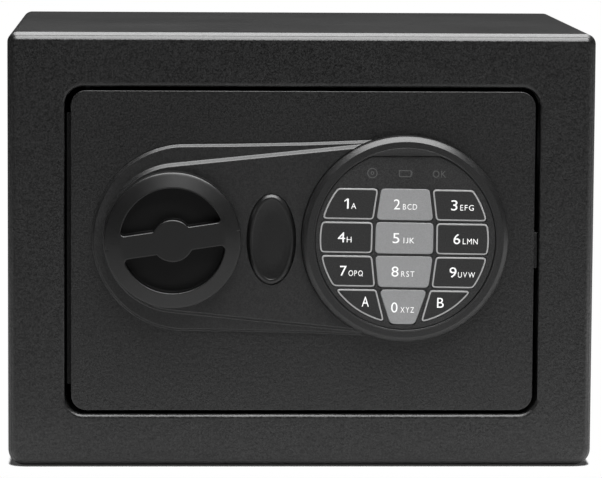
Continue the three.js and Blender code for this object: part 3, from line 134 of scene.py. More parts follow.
# Keypad
RING_R = 40.3
RING_FACE_R = 38.3
RING_BEVEL_DOWN = 1.75
RING_BEAD_R = 35.75  # fine raised bead round the opening
RING_BEAD_HALF = 0.2
RING_BEAD_RISE = 0.08
MASK_OPENING = (35.3, 32.7)  # radius, and height of the chord across its top
MASK_LEDGE = (34.5, 31.9)
LEDGE_DOWN = 2.4
RING_FLOOR = 1.3
CABLE_HOLE = {"x": 32, "rise": 21.8, "r": 5}
FIELD_X = -0.45
FIELD_TILT = math.radians(-0.8)
GREY_KEYS = ("key_2", "key_5", "key_8", "key_0")
KEY_EDGE_R = 0.3
KEY_FLANGE = 0.4
KEY_FLANGE_THICK = 1
KEY_PASSES = {"key_a": 5, "key_b": 5, "key_0": 24}  # how often an outline is softened, else USUAL_PASSES
USUAL_PASSES = 9
KEY_GROWTH = 0.15  # beyond the solid's outline, half of the gap to the mask

# Oval cover, a little larger and lower than its solid
COVER_GROWTH = 0.3
COVER_LOWER = 0.3
COVER_THICK = 2
COVER_RIM = 1.9
COVER_DISH = 0.14

# Batteries
SLEEVE_BAND = 12  # length of the pale band at the base
CRIMP = 1.2  # length of the button beyond the shoulder
SLEEVE_LAP = 0.6  # how far the sleeve wraps over an end

# Printing on the keys: digit, its place along the row and its width, then the same for the letters
DIGIT_HEIGHT = 3.9
LETTER_HEIGHT = 2.15
LETTER_GAP = 0.27  # between letters, as a share of their height
STROKE = 0.15  # thickness of the drawn J, as a share of its height
DIGIT_STROKE = 0.125  # thickness of the drawn 1
ROW_LEVELS = (13.85, 0.68, -12.43, -26.5)
SINGLE_LETTER_LEVEL = -24.4
LETTER_SOLID = 0.01  # half thickness before a letter is placed, in the text's own units
PRINT_THICK = 0.02  # how far print stands out of a face, and how deep it goes
LEGENDS = {
    "key_1": ("1", -22.8, 1.7, "A", -20.0, 1.95),
    "key_2": ("2", -3.2, 2.45, "BCD", 1.9, 5.5),
    "key_3": ("3", 19.15, 2.45, "EFG", 24.1, 5.3),
    "key_4": ("4", -24.5, 2.85, "H", -21.5, 1.85),
    "key_5": ("5", -3.25, 2.6, "IJK", 1.8, 4.25),
    "key_6": ("6", 20.45, 2.6, "LMN", 25.7, 5.85),
    "key_7": ("7", -23.5, 2.65, "OPQ", -18.65, 5.65),
    "key_8": ("8", -3.35, 2.75, "RST", 1.65, 5.1),
    "key_9": ("9", 19.25, 2.75, "UVW", 24.55, 6.65),
    "key_0": ("0", -3.3, 2.5, "XYZ", 1.75, 5.3),
    "key_a": ("A", -14.65, 2.8, "", 0, 0),
    "key_b": ("B", 14.65, 2.6, "", 0, 0),
}
ICON_LEVEL = 25.9


def photo_camera():
    """The photograph's camera, with its place in millimetres and its turns in radians."""
    data = bpy.data.cameras.new("photo_camera")
    data.lens = CAMERA_LENS
    data.sensor_width = SENSOR_WIDTH
    data.clip_start = 0.01
    data.clip_end = 50
    camera = bpy.data.objects.new("photo_camera", data)
    turn = (
        Matrix.Rotation(CAMERA_YAW, 4, "Z")
        @ Matrix.Rotation(CAMERA_ROLL, 4, "Y")
        @ Matrix.Rotation(CAMERA_PITCH + math.pi / 2, 4, "X")
    )
    camera.matrix_world = Matrix.Translation(Vector(CAMERA_PLACE) * MM) @ turn
    bpy.context.scene.collection.objects.link(camera)
    bpy.context.scene.camera = camera


photo_camera()
bpy.context.scene.view_settings.view_transform = "Standard"


# Places taken from the frame


def extent(node):
    """Lowest and highest corner of a solid, in millimetres."""
    low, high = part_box(node)
    return np.array(low) / MM, np.array(high) / MM


body_low, body_high = extent("body_shell")
door_low, door_high = extent("door_plate")
panel_low, panel_high = extent("front_panel")
ring_low, ring_high = extent("keypad_ring")
mask_low, _ = extent("keypad_mask")
knob_low, knob_high = extent("knob")
shaft_low, shaft_high = extent("knob_shaft")
oval_low, oval_high = extent("key_cover")

face_y, rear_y = body_low[1], body_high[1]
way_sides = (door_low[0] - HINGE_GAP, door_high[0] + LATCH_GAP)
way_levels = (door_low[2] - EDGE_GAP, door_high[2] + EDGE_GAP)
panel_back_y = panel_high[1]
base_y = panel_back_y - BASE_STEP
raised_y = panel_low[1]
keypad_x = (ring_low[0] + ring_high[0]) / 2
axis_z = (ring_low[2] + ring_high[2]) / 2
knob_x = (shaft_low[0] + shaft_high[0]) / 2
oval_x = (oval_low[0] + oval_high[0]) / 2
oval_z = axis_z - COVER_LOWER
oval_half = (
    (oval_high[0] - oval_low[0]) / 2 + COVER_GROWTH,
    (oval_high[2] - oval_low[2]) / 2 + COVER_GROWTH,
)


# Meshes


def quad_grid(rows, columns, row_loop=False, column_loop=True):
    """Faces of a grid of points, row by row; a looped direction joins its last line to its first."""
    i = np.arange(rows if row_loop else rows - 1)[:, None]
    j = np.arange(columns if column_loop else columns - 1)[None, :]
    i_next = (i + 1) % rows
    j_next = (j + 1) % columns
    corners = (i * columns + j, i * columns + j_next, i_next * columns + j_next, i_next * columns + j)
    return np.stack(np.broadcast_arrays(*corners), axis=-1).reshape(-1, 4)


def enclosed_volume(points, quads):
    """Sum over the faces of the tetrahedra that they span with the origin; negative when inside out."""
    a, b, c, d = (points[quads[:, k]] for k in range(4))
    halves = (a * np.cross(b, c)).sum(axis=1) + (a * np.cross(c, d)).sum(axis=1)
    return halves.sum() / 6


def merge_doubles(mesh, distance, turn_outwards=False):
    """Joins vertices closer than a distance in metres, and turns the faces outwards if asked."""
    work = bmesh.new()
    work.from_mesh(mesh)
    bmesh.ops.remove_doubles(work, verts=work.verts, dist=distance)
    if turn_outwards:
        bmesh.ops.recalc_face_normals(work, faces=work.faces)
    work.to_mesh(mesh)
    work.free()


def mesh_of(name, points, quads):
    """A mesh in metres from points in millimetres, with its doubles merged and its faces outwards."""
    if enclosed_volume(points, quads) < 0:
        quads = quads[:, ::-1]
    mesh = bpy.data.meshes.new(name)
    mesh.from_pydata((points * MM).tolist(), [], quads.tolist())
    merge_doubles(mesh, 2e-7)
    mesh.update()
    return mesh


def piece(name, mesh, body, finish, replaced=(), sharp=38):
    """Smooths a mesh up to the sharp angle and sets it on its body with its material."""
    mesh.shade_smooth()
    mesh.set_sharp_from_angle(angle=math.radians(sharp))
    mesh.materials.clear()
    mesh.materials.append(finish)
    made = bpy.data.objects.new(name, mesh)
    bpy.context.scene.collection.objects.link(made)
    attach(made, body)
    if replaced:
        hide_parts(*replaced)
    return made


def mesh_points(mesh):
    """The mesh's vertices as rows of three."""
    points = np.empty(len(mesh.vertices) * 3)
    mesh.vertices.foreach_get("co", points)
    return points.reshape(-1, 3)


def face_centres(mesh):
    """The middles of the mesh's faces, in millimetres."""
    centres = np.empty(len(mesh.polygons) * 3)
    mesh.polygons.foreach_get("center", centres)
    return centres.reshape(-1, 3) / MM


def paint_faces(mesh, choice):
    """Gives each face the material slot with its number in choice."""
    mesh.polygons.foreach_set("material_index", choice.astype(np.int32))


def skin(name, rings, ring_loop=False):
    """Mesh over a row of rings (rings, points, 3); ring_loop joins the last ring to the first."""
    rows, columns, _ = rings.shape
    return mesh_of(name, rings.reshape(-1, 3), quad_grid(rows, columns, ring_loop))


def ring_at(outline, y):
    """An outline in the XZ plane, set at one depth or at a depth for each point."""
    return np.column_stack([outline[:, 0], np.broadcast_to(y, len(outline)), outline[:, 1]])


def carved(mesh, cutters):
    """The mesh with closed cutter meshes taken out of it."""
    whole = bpy.data.objects.new(mesh.name, mesh)
    bpy.context.scene.collection.objects.link(whole)
    tools = []
    for cutter in cutters:
        tool = bpy.data.objects.new(cutter.name, cutter)
        bpy.context.scene.collection.objects.link(tool)
        tools.append(tool)
        cut = whole.modifiers.new("cut", "BOOLEAN")
        cut.object = tool
        cut.solver = "MANIFOLD"
    bpy.context.view_layer.update()
    graph = bpy.context.evaluated_depsgraph_get()
    result = bpy.data.meshes.new_from_object(whole.evaluated_get(graph))
    result.name = mesh.name + "_cut"
    for tool in [whole, *tools]:
        bpy.data.objects.remove(tool)
    return result


def turned_bar(name, centre, profile, along, steps=96):
    """Circles about an axis through a centre; each pair of the profile is a radius and a place along it."""
    angle = np.linspace(0, 2 * np.pi, steps, endpoint=False)
    axis = "xyz".index(along)
    radii, places = np.array(profile, float).T
    rings = np.zeros((len(profile), steps, 3))
    rings[:, :, axis] = places[:, None]
    for side, wave in zip([k for k in range(3) if k != axis], (np.cos(angle), np.sin(angle))):
        rings[:, :, side] = centre[side] + radii[:, None] * wave[None]
    return skin(name, rings)


def rod(name, radius, start, end, along, steps=96):
    """A round bar, closed by a point at each end."""
    first, last = (place["xyz".index(along)] for place in (start, end))
    return turned_bar(name, start, [(0, first), (radius, first), (radius, last), (0, last)], along, steps)


def arc(x, z, radius, start, end, steps):
    """Points of a circle's arc between two angles in degrees."""
    angle = np.radians(np.linspace(start, end, steps + 1))
    return np.column_stack([x + radius * np.cos(angle), z + radius * np.sin(angle)])


def rounded_box(left, right, bottom, top, bottom_r, top_r, steps=16):
    """Box with quarter-circle corners, counterclockwise as seen from the front."""
    return np.vstack([
        arc(right - bottom_r, bottom + bottom_r, bottom_r, -90, 0, steps),
        arc(right - top_r, top - top_r, top_r, 0, 90, steps),
        arc(left + top_r, top - top_r, top_r, 90, 180, steps),
        arc(left + bottom_r, bottom + bottom_r, bottom_r, 180, 270, steps),
    ])


def parallel(outline, distance):
    """Moves each point of a closed outline out by a distance, along the mean normal of its two sides."""
    after = np.roll(outline, -1, axis=0) - outline
    before = outline - np.roll(outline, 1, axis=0)
    after = after / np.linalg.norm(after, axis=1, keepdims=True)
    before = before / np.linalg.norm(before, axis=1, keepdims=True)
    normal = np.column_stack([after[:, 1] + before[:, 1], -after[:, 0] - before[:, 0]])
    normal = normal / np.linalg.norm(normal, axis=1, keepdims=True)
    lean = normal[:, 0] * after[:, 1] - normal[:, 1] * after[:, 0]
    return outline + normal * (distance / np.maximum(lean, 0.5))[:, None]


def quarter(radius, steps=6):
    """Pairs of inset and depth along a quarter circle, from a face back to its side."""
    angle = np.linspace(0, np.pi / 2, steps + 1)
    return list(zip(radius * (1 - np.sin(angle)), radius * (1 - np.cos(angle))))


def folded(radius, steps=8):
    """Pairs of inset and depth of a pressed fold, from the side to the face.

    A curve with one control point: it leaves the side with a crease and meets the face without one.
    """
    share = np.linspace(0, 1, steps + 1)
    inset = 2 * share * (1 - share) * radius * math.tan(CREASE) + share**2 * radius
    depth = (1 - share) ** 2 * radius
    return list(zip(inset, depth))


def turned(points, x, z, angle):
    """Points of the XZ plane turned counterclockwise about the origin and moved to a place."""
    cos, sin = math.cos(angle), math.sin(angle)
    return np.column_stack([
        x + points[:, 0] * cos - points[:, 1] * sin,
        z + points[:, 0] * sin + points[:, 1] * cos,
    ])


# Materials


def add(tree, kind, inputs=None, **settings):
    """A shader node with its settings, and with its inputs set to numbers or joined to sockets."""
    node = tree.nodes.new(kind)
    for name, value in settings.items():
        setattr(node, name, value)
    for name, value in (inputs or {}).items():
        socket = node.inputs[name]
        if isinstance(value, bpy.types.NodeSocket):
            tree.links.new(value, socket)
        else:
            socket.default_value = value
    return node


def ramp(tree, value, start, end, low=0, high=1):
    """A value's run from start to end, spread between two numbers and held at them beyond."""
    return add(tree, "ShaderNodeMapRange", {
        "Value": value, "From Min": start, "From Max": end, "To Min": low, "To Max": high}, clamp=True)


def group_tree(name, inputs, outputs):
    """An empty node group with sockets for numbers."""
    tree = bpy.data.node_groups.new(name, "ShaderNodeTree")
    for way, labels in (("INPUT", inputs), ("OUTPUT", outputs)):
        for label in labels:
            tree.interface.new_socket(label, in_out=way, socket_type="NodeSocketFloat")
    return tree, tree.nodes.new("NodeGroupInput"), tree.nodes.new("NodeGroupOutput")


def noise_at(tree, place, size, detail, roughness):
    """Noise over the object's own coordinates, with a feature's size in metres."""
    scale = add(tree, "ShaderNodeMath", {0: 1.0, 1: size}, operation="DIVIDE")
    return add(tree, "ShaderNodeTexNoise", {
        "Vector": place.outputs["Object"], "Scale": scale.outputs[0], "Detail": detail,
        "Roughness": roughness})


def grain_group():
    """Cast or sprayed grain: fine noise over broader orange peel, each with a size and a share.

    Height is fine x share + broad x share, and Speckle is the fine noise pushed to its ends.
    """
    tree, start, end = group_tree(
        "surface_grain", ["Fine Size", "Fine Share", "Broad Size", "Broad Share"], ["Height", "Speckle"])
    place = add(tree, "ShaderNodeTexCoord")
    parts = []
    for label in ("Fine", "Broad"):
        noise = noise_at(tree, place, start.outputs[label + " Size"], 2.0, 0.55)
        share = add(tree, "ShaderNodeMath", {
            0: noise.outputs[0], 1: start.outputs[label + " Share"]}, operation="MULTIPLY")
        parts.append((noise, share))
    total = add(tree, "ShaderNodeMath", {0: parts[0][1].outputs[0], 1: parts[1][1].outputs[0]})
    speckle = ramp(tree, parts[0][0].outputs[0], 0.35, 0.72)
    tree.links.new(total.outputs[0], end.inputs["Height"])
    tree.links.new(speckle.outputs[0], end.inputs["Speckle"])
    return tree


def cloud_group():
    """Slow variation over a surface, such as handling and spray thickness: one soft mask from 0 to 1."""
    tree, start, end = group_tree("slow_variation", ["Size"], ["Mask"])
    place = add(tree, "ShaderNodeTexCoord")
    noise = noise_at(tree, place, start.outputs["Size"], 3.0, 0.6)
    mask = ramp(tree, noise.outputs[0], 0.3, 0.7)
    tree.links.new(mask.outputs[0], end.inputs["Mask"])
    return tree


grain_tree = grain_group()
cloud_tree = cloud_group()


def shader(name, **constants):
    """A material with a Principled BSDF whose plain values are set on its own sockets."""
    made = bpy.data.materials.new(name)
    made.use_nodes = True
    tree = made.node_tree
    surface = tree.nodes["Principled BSDF"]
    for label, value in constants.items():
        surface.inputs[label.replace("_", " ")].default_value = value
    return made, tree, surface


def placed_grain(tree, fine, fine_share, broad, broad_share):
    """The grain group with sizes in millimetres."""
    return add(tree, "ShaderNodeGroup", {
        "Fine Size": fine * MM, "Fine Share": fine_share,
        "Broad Size": broad * MM, "Broad Share": broad_share}, node_tree=grain_tree)


def placed_cloud(tree, size):
    """The slow variation group with its size in millimetres."""
    return add(tree, "ShaderNodeGroup", {"Size": size * MM}, node_tree=cloud_tree)


def mixed_colour(tree, mask, low, high):
    """One of two colours by a mask from 0 to 1."""
    return add(tree, "ShaderNodeMix", {0: mask, "A": (*low, 1), "B": (*high, 1)}, data_type="RGBA")


def grained_finish(name, low, high, rough, depth, fine, fine_share, broad, broad_share, cloud=60,
                   **constants):
    """A finish with two close colours, slow variation in its gloss, and a grain that stands up by depth.

    Colour follows the grain's speckle, roughness the slow mask, and the normal the grain's height. Depth
    and the sizes of the grain and the cloud are in millimetres.
    """
    made, tree, surface = shader(name, **constants)
    grained = placed_grain(tree, fine, fine_share, broad, broad_share)
    slow = placed_cloud(tree, cloud)
    colour = mixed_colour(tree, grained.outputs["Speckle"], low, high)
    gloss = ramp(tree, slow.outputs["Mask"], 0, 1, *rough)
    bump = add(tree, "ShaderNodeBump", {
        "Height": grained.outputs["Height"], "Strength": 1.0, "Distance": depth * MM})
    tree.links.new(colour.outputs[2], surface.inputs["Base Color"])
    tree.links.new(gloss.outputs[0], surface.inputs["Roughness"])
    tree.links.new(bump.outputs[0], surface.inputs["Normal"])
    return made


powder_coat = grained_finish(
    "powder_coat", (0.0005, 0.0005, 0.0005), (0.021, 0.021, 0.0212), (0.29, 0.35), 0.12,
    0.6, 0.5, 1.8, 1.0, Specular_IOR_Level=0.57)
moulded_black = grained_finish(
    "moulded_black_plastic", (0.0005, 0.0005, 0.0005), (0.007, 0.007, 0.0071), (0.32, 0.36), 0.012,
    0.5, 0.5, 2.0, 0.6, Specular_IOR_Level=0.6)
panel_black = grained_finish(
    "moulded_panel_plastic", (0.003, 0.003, 0.0031), (0.021, 0.021, 0.0212), (0.32, 0.36), 0.012,
    0.5, 0.5, 2.0, 0.6, Specular_IOR_Level=0.6)
# Painted shade: the knob's pockets get a darker, less glossy copy of its black plastic, standing in for the
# shade deep inside them
pocket_painted_shade = grained_finish(
    "pocket_painted_shade_plastic", (0.0005, 0.0005, 0.0005), (0.003, 0.003, 0.0031), (0.38, 0.42), 0.02,
    0.5, 1.0, 2.0, 0.3, Specular_IOR_Level=0.32)
# Painted shade: the hinge leaf seen in the doorway's gap gets a darker, duller black than the powder coat,
# standing in for the shade it sits in
hinge_leaf_painted_shade = grained_finish(
    "hinge_leaf_painted_shade_black", (0.001, 0.001, 0.001), (0.008, 0.008, 0.0081), (0.5, 0.6), 0.02,
    0.6, 1.0, 2.0, 0.5, Specular_IOR_Level=0.22)
overlay_black = grained_finish(
    "keypad_overlay_film", (0.001, 0.001, 0.001), (0.028, 0.028, 0.0283), (0.4, 0.5), 0.02,
    0.5, 1.0, 1.5, 0.2, Specular_IOR_Level=0.6)
key_grey = grained_finish(
    "grey_key_film", (0.205, 0.206, 0.208), (0.255, 0.257, 0.26), (0.5, 0.55), 0.01,
    0.3, 1.0, 2.0, 0.3, Specular_IOR_Level=0.5)
print_white = grained_finish(
    "white_print", (0.86, 0.86, 0.86), (0.92, 0.92, 0.92), (0.5, 0.55), 0.005,
    0.3, 1.0, 2.0, 0.3, Specular_IOR_Level=0.4)
print_faint = grained_finish(
    "faint_grey_print", (0.06, 0.06, 0.06), (0.078, 0.078, 0.078), (0.5, 0.55), 0.005,
    0.3, 1.0, 2.0, 0.3, Specular_IOR_Level=0.4)
zinc_steel = grained_finish(
    "zinc_plated_steel", (0.50, 0.50, 0.48), (0.62, 0.62, 0.60), (0.28, 0.42), 0.01,
    0.8, 0.5, 6.0, 1.0, cloud=18, Metallic=1.0)
bright_steel = grained_finish(
    "turned_bright_steel", (0.62, 0.62, 0.62), (0.72, 0.72, 0.71), (0.18, 0.28), 0.006,
    0.4, 1.0, 4.0, 0.4, cloud=20, Metallic=1.0)
blackened_steel = grained_finish(
    "blackened_steel", (0.020, 0.020, 0.021), (0.035, 0.035, 0.036), (0.35, 0.45), 0.006,
    0.4, 1.0, 4.0, 0.4, cloud=20, Metallic=1.0)
brass = grained_finish(
    "turned_brass", (0.62, 0.44, 0.16), (0.72, 0.53, 0.22), (0.22, 0.34), 0.006,
    0.4, 1.0, 4.0, 0.4, cloud=12, Metallic=1.0)
felt = grained_finish(
    "black_felt", (0.010, 0.010, 0.011), (0.035, 0.035, 0.037), (0.9, 0.98), 0.5,
    0.45, 1.0, 3.0, 0.5, Specular_IOR_Level=0.2, Sheen_Weight=0.6, Sheen_Roughness=0.5)
circuit_board = grained_finish(
    "green_circuit_board", (0.012, 0.09, 0.035), (0.02, 0.14, 0.055), (0.25, 0.35), 0.02,
    1.2, 1.0, 5.0, 0.3, Specular_IOR_Level=0.5)
cable_grey = grained_finish(
    "grey_flat_cable", (0.30, 0.30, 0.31), (0.38, 0.38, 0.39), (0.45, 0.5), 0.01,
    0.4, 1.0, 3.0, 0.3)
coil_wrap = grained_finish(
    "solenoid_coil_tape", (0.42, 0.25, 0.05), (0.52, 0.33, 0.08), (0.35, 0.45), 0.02,
    0.5, 1.0, 4.0, 0.5)
battery_wrap = grained_finish(
    "battery_sleeve", (0.03, 0.07, 0.14), (0.05, 0.10, 0.18), (0.22, 0.3), 0.005,
    0.5, 1.0, 8.0, 0.5)
battery_band = grained_finish(
    "battery_sleeve_band", (0.42, 0.43, 0.44), (0.52, 0.53, 0.54), (0.25, 0.32), 0.005,
    0.5, 1.0, 8.0, 0.5, Metallic=0.6)
reset_red = grained_finish(
    "red_reset_button", (0.33, 0.018, 0.012), (0.40, 0.025, 0.018), (0.35, 0.42), 0.008,
    0.4, 1.0, 4.0, 0.3)


def dark_key():
    """The overlay's black with a light printed line round the key, by the edge_distance attribute."""
    made, tree, surface = shader("black_key_film", Specular_IOR_Level=0.6)
    grained = placed_grain(tree, 0.5, 1.0, 1.5, 0.2)
    colour = mixed_colour(tree, grained.outputs["Speckle"], (0.001, 0.001, 0.001), (0.020, 0.020, 0.0202))
    edge = add(tree, "ShaderNodeAttribute", attribute_name="edge_distance")
    begun = ramp(tree, edge.outputs["Fac"], 0.02, 0.1)
    unended = ramp(tree, edge.outputs["Fac"], 0.62, 0.72, 1, 0)
    line = add(tree, "ShaderNodeMath", {0: begun.outputs[0], 1: unended.outputs[0]}, operation="MULTIPLY")
    printed = add(tree, "ShaderNodeMix", {
        0: line.outputs[0], "A": colour.outputs[2], "B": (0.30, 0.30, 0.30, 1)}, data_type="RGBA")
    bump = add(tree, "ShaderNodeBump", {
        "Height": grained.outputs["Height"], "Strength": 1.0, "Distance": 0.02 * MM})
    tree.links.new(printed.outputs[2], surface.inputs["Base Color"])
    surface.inputs["Roughness"].default_value = 0.5
    tree.links.new(bump.outputs[0], surface.inputs["Normal"])
    return made


key_black = dark_key()


# Cabinet


def body_outline(inset):
    """The cabinet's rounded outline in front view, drawn in by a distance."""
    def corner(radius):
        return max(radius - inset, SHEET)
    return rounded_box(
        body_low[0] + inset, body_high[0] - inset, body_low[2] + inset, body_high[2] - inset,
        corner(BOTTOM_CORNER_R), corner(TOP_CORNER_R))


def way_outline(outset):
    """The doorway's outline in front view, moved out by a distance."""
    radius = WAY_CORNER_R + outset
    return rounded_box(
        way_sides[0] - outset, way_sides[1] + outset, way_levels[0] - outset, way_levels[1] + outset,
        radius, radius)


def cabinet_shell():
    """Folded sheet as one closed profile of rings.

    It runs over the jamb, lip, face, fold, side, rear fold and flange and back inside. Each ring is the
    doorway's or the cabinet's outline at an inset and a depth, and the last ring meets the first. The lip's
    quarter circle is full size along the top and bottom and shrinks to LIP_SIDE_SHARE down the sides.
    """
    near, apart = 0.3, 4  # support rings beside a fold and further along the face
    jamb_end = face_y + JAMB_DEPTH
    flange = SHEET + REAR_FLANGE
    inner_face, inner_rear = face_y + SHEET, rear_y - SHEET
    soft = CUT_EDGE_R
    way = way_outline(0)
    outward = way_outline(1) - way
    fullness = LIP_SIDE_SHARE + (1 - LIP_SIDE_SHARE) * np.abs(outward[:, 1])
    lip = [
        ring_at(way + outward * (inset * fullness)[:, None], face_y + depth * fullness)
        for inset, depth in reversed(quarter(LIP_R, 8))
    ]
    edge = folded(EDGE_R, 10)
    rings = [
        ring_at(way_outline(soft), jamb_end),
        ring_at(way_outline(0), jamb_end - soft),
        ring_at(way_outline(0), face_y + LIP_R + near),
        *lip,
        ring_at(way_outline(LIP_R + near), face_y),
        ring_at(way_outline(LIP_R + apart), face_y),
        ring_at(body_outline(EDGE_R + apart), face_y),
        ring_at(body_outline(EDGE_R + near), face_y),
        *[ring_at(body_outline(inset), face_y + depth) for inset, depth in reversed(edge)],
        ring_at(body_outline(0), face_y + EDGE_R + near),
        ring_at(body_outline(0), rear_y - EDGE_R - near),
        *[ring_at(body_outline(inset), rear_y - depth) for inset, depth in edge],
        ring_at(body_outline(EDGE_R + near), rear_y),
        ring_at(body_outline(flange - soft), rear_y),
        ring_at(body_outline(flange), rear_y - soft),
        ring_at(body_outline(flange), inner_rear),
        ring_at(body_outline(SHEET), inner_rear),
        ring_at(body_outline(SHEET), inner_face),
        ring_at(way_outline(SHEET), inner_face),
        ring_at(way_outline(SHEET), jamb_end - soft),
        ring_at(way_outline(SHEET - soft), jamb_end),
    ]
    shell = skin("cabinet_shell", np.stack(rings), ring_loop=True)
    x, y = PIVOT
    bush_holes = [
        rod("bush_hole", BUSH_HOLE_R, (x, y, level - 2), (x, y, level + 2), "z")
        for level in (way_levels[0] - SHEET / 2, way_levels[1] + SHEET / 2)
    ]
    anchor = FLOOR_ANCHOR
    anchors = [
        rod("anchor_hole", anchor["r"], (side * anchor["x"], anchor["y"], -1),
            (side * anchor["x"], anchor["y"], SHEET + 1), "z")
        for side in (-1, 1)
    ]
    cut = carved(shell, bush_holes + anchors)
    return piece("cabinet_shell", cut, "cabinet", powder_coat, ["body_shell"], sharp=28)


def felt_mat():
    """Felt slab with rounded edges and two holes over the anchor holes."""
    low, high = extent("floor_mat")
    soft = MAT_EDGE_R
    def outline(inset):
        return rounded_box(
            low[0] + inset, high[0] - inset, low[1] + inset, high[1] - inset, MAT_CORNER_R, MAT_CORNER_R, 8)
    def level(inset, z):
        flat = outline(inset)
        return np.column_stack([flat, np.full(len(flat), z)])
    middle = np.tile([(low[0] + high[0]) / 2, (low[1] + high[1]) / 2], (len(outline(0)), 1))
    rings = np.stack([
        np.column_stack([middle, np.full(len(middle), low[2])]),
        level(soft, low[2]),
        level(0, low[2] + soft),
        level(0, high[2] - soft),
        level(soft, high[2]),
        level(soft + 1, high[2]),
        np.column_stack([middle, np.full(len(middle), high[2])]),
    ])
    anchor = FLOOR_ANCHOR
    holes = [
        rod("mat_hole", anchor["r"] + MAT_HOLE_GAP, (side * anchor["x"], anchor["y"], low[2] - 1),
            (side * anchor["x"], anchor["y"], high[2] + 1), "z", 48)
        for side in (-1, 1)
    ]
    mat = piece("felt_mat", carved(skin("felt_mat", rings), holes), "cabinet", felt, ["floor_mat"])
    return mat


# Door


def door_skin():
    """Rounded plate: rings of the door's outline round its front edge, closed by a point on each face."""
    def outline(inset):
        radius = DOOR_CORNER_R - inset
        return rounded_box(
            door_low[0] + inset, door_high[0] - inset, door_low[2] + inset, door_high[2] - inset,
            radius, radius)
    front, back = door_low[1], door_high[1]
    centre = [(door_low[0] + door_high[0]) / 2, (door_low[2] + door_high[2]) / 2]
    middle = np.tile(centre, (len(outline(0)), 1))
    near = 0.25  # support ring beside the rounding
    soft = DOOR_BACK_BEVEL
    rings = np.stack([
        ring_at(middle, front),
        ring_at(outline(DOOR_EDGE_R + near), front),
        *[ring_at(outline(inset), front + depth) for inset, depth in quarter(DOOR_EDGE_R, 6)],
        ring_at(outline(0), front + DOOR_EDGE_R + near),
        ring_at(outline(0), back - soft),
        ring_at(outline(soft), back),
        ring_at(middle, back),
    ])
    def hole(node, radius):
        low, high = extent(node)
        x, z = (low[0] + high[0]) / 2, (low[2] + high[2]) / 2
        return rod("door_hole", radius, (x, front - 1, z), (x, back + 1, z), "y", 64)
    cut = carved(skin("door_skin", rings), [hole(node, radius) for node, radius in DOOR_HOLES.items()])
    return piece("door_skin", cut, "door", powder_coat, ["door_plate"])


def cast(outline, origin, directions):
    """Where rays from a point cross a closed outline that each of them meets once.

    The corners are put in order of their bearing, and a ray meets the side between the two that enclose it.
    """
    seen = outline - origin
    bearing = np.arctan2(seen[:, 1], seen[:, 0])
    order = np.argsort(bearing)
    seen, bearing = seen[order], bearing[order]
    after = np.searchsorted(bearing, np.arctan2(directions[:, 1], directions[:, 0])) % len(seen)
    start = seen[after - 1]
    side = seen[after] - start
    reach = (start[:, 0] * side[:, 1] - start[:, 1] * side[:, 0]) / (
        directions[:, 0] * side[:, 1] - directions[:, 1] * side[:, 0])
    return origin + directions * reach[:, None]


def base_outline():
    """Left arc, two level runs, and tangents to a wider right arc round the keypad."""
    x, radius = BASE_CIRCLES["left"]
    end, right_r = BASE_CIRCLES["straight_end"], BASE_CIRCLES["right_r"]
    spread = math.acos(right_r / math.hypot(end - keypad_x, radius))
    side = math.degrees(math.atan2(radius, end - keypad_x) - spread)
    return np.vstack([
        arc(x, axis_z, radius, 90, 270, 90),
        [[end, axis_z - radius]],
        arc(keypad_x, axis_z, right_r, -side, side, 90),
        [[end, axis_z + radius]],
    ])


def raised_outline():
    """Two arcs joined by their common tangents."""
    x, radius = RAISED_CIRCLES["left"]
    right_r = RAISED_CIRCLES["right_r"]
    lean = 90 + math.degrees(math.asin((right_r - radius) / (keypad_x - x)))
    return np.vstack([
        arc(x, axis_z, radius, lean, 360 - lean, 90),
        arc(keypad_x, axis_z, right_r, -lean, lean, 90),
    ])


def front_moulding():
    """Low base and raised field with a well for the oval cover.

    Rays from the oval's middle meet each outline once, so that every ring has the same points: the well's
    wall, its rounded edge, the raised face, its bevel, the base, its bevel and the flat back.
    """
    angle = np.linspace(0, 2 * np.pi, 720, endpoint=False)
    rays = np.column_stack([np.cos(angle), np.sin(angle)])
    middle = np.array([oval_x, oval_z])
    base, raised = softened(base_outline(), 2), raised_outline()
    def oval(margin):
        a, b = oval_half[0] + margin, oval_half[1] + margin
        return middle + rays / np.hypot(rays[:, 0] / a, rays[:, 1] / b)[:, None]
    def field(inset):
        return cast(parallel(raised, -inset), middle, rays)
    def foot(inset):
        return cast(parallel(base, -inset), middle, rays)
    near = 0.1  # support ring beside an edge
    gap, edge = WELL_GAP, WELL_EDGE_R
    rings = [
        ring_at(oval(gap), panel_back_y),
        *[ring_at(oval(gap + edge * (1 - math.cos(a))), raised_y + edge * (1 - math.sin(a)))
          for a in np.linspace(0, math.pi / 2, 5)],
        ring_at(oval(gap + edge + near), raised_y),
        ring_at(field(RAISED_BEVEL + near), raised_y),
        *[ring_at(field(RAISED_BEVEL * (1 - out)), raised_y + RAISED_STEP * down)
          for out, down in MOULDED_BEVEL],
        ring_at(field(-near), base_y),
        ring_at(foot(BASE_BEVEL + near), base_y),
        *[ring_at(foot(BASE_BEVEL * (1 - out)), base_y + BASE_BEVEL * down) for out, down in MOULDED_BEVEL],
        ring_at(foot(0), panel_back_y),
    ]
    moulding = skin("front_moulding", np.stack(rings), ring_loop=True)
    def hole(name, radius, x, steps):
        return rod(name, radius, (x, raised_y - 1, axis_z), (x, panel_back_y + 1, axis_z), "y", steps)
    holes = [
        hole("ring_hole", RING_R + RING_GAP, keypad_x, 240),
        hole("bush_hole", KNOB_BUSH_HOLE_R, knob_x, 64),
    ]
    cut = carved(moulding, holes)
    return piece("front_moulding", cut, "door", panel_black, ["front_panel"])


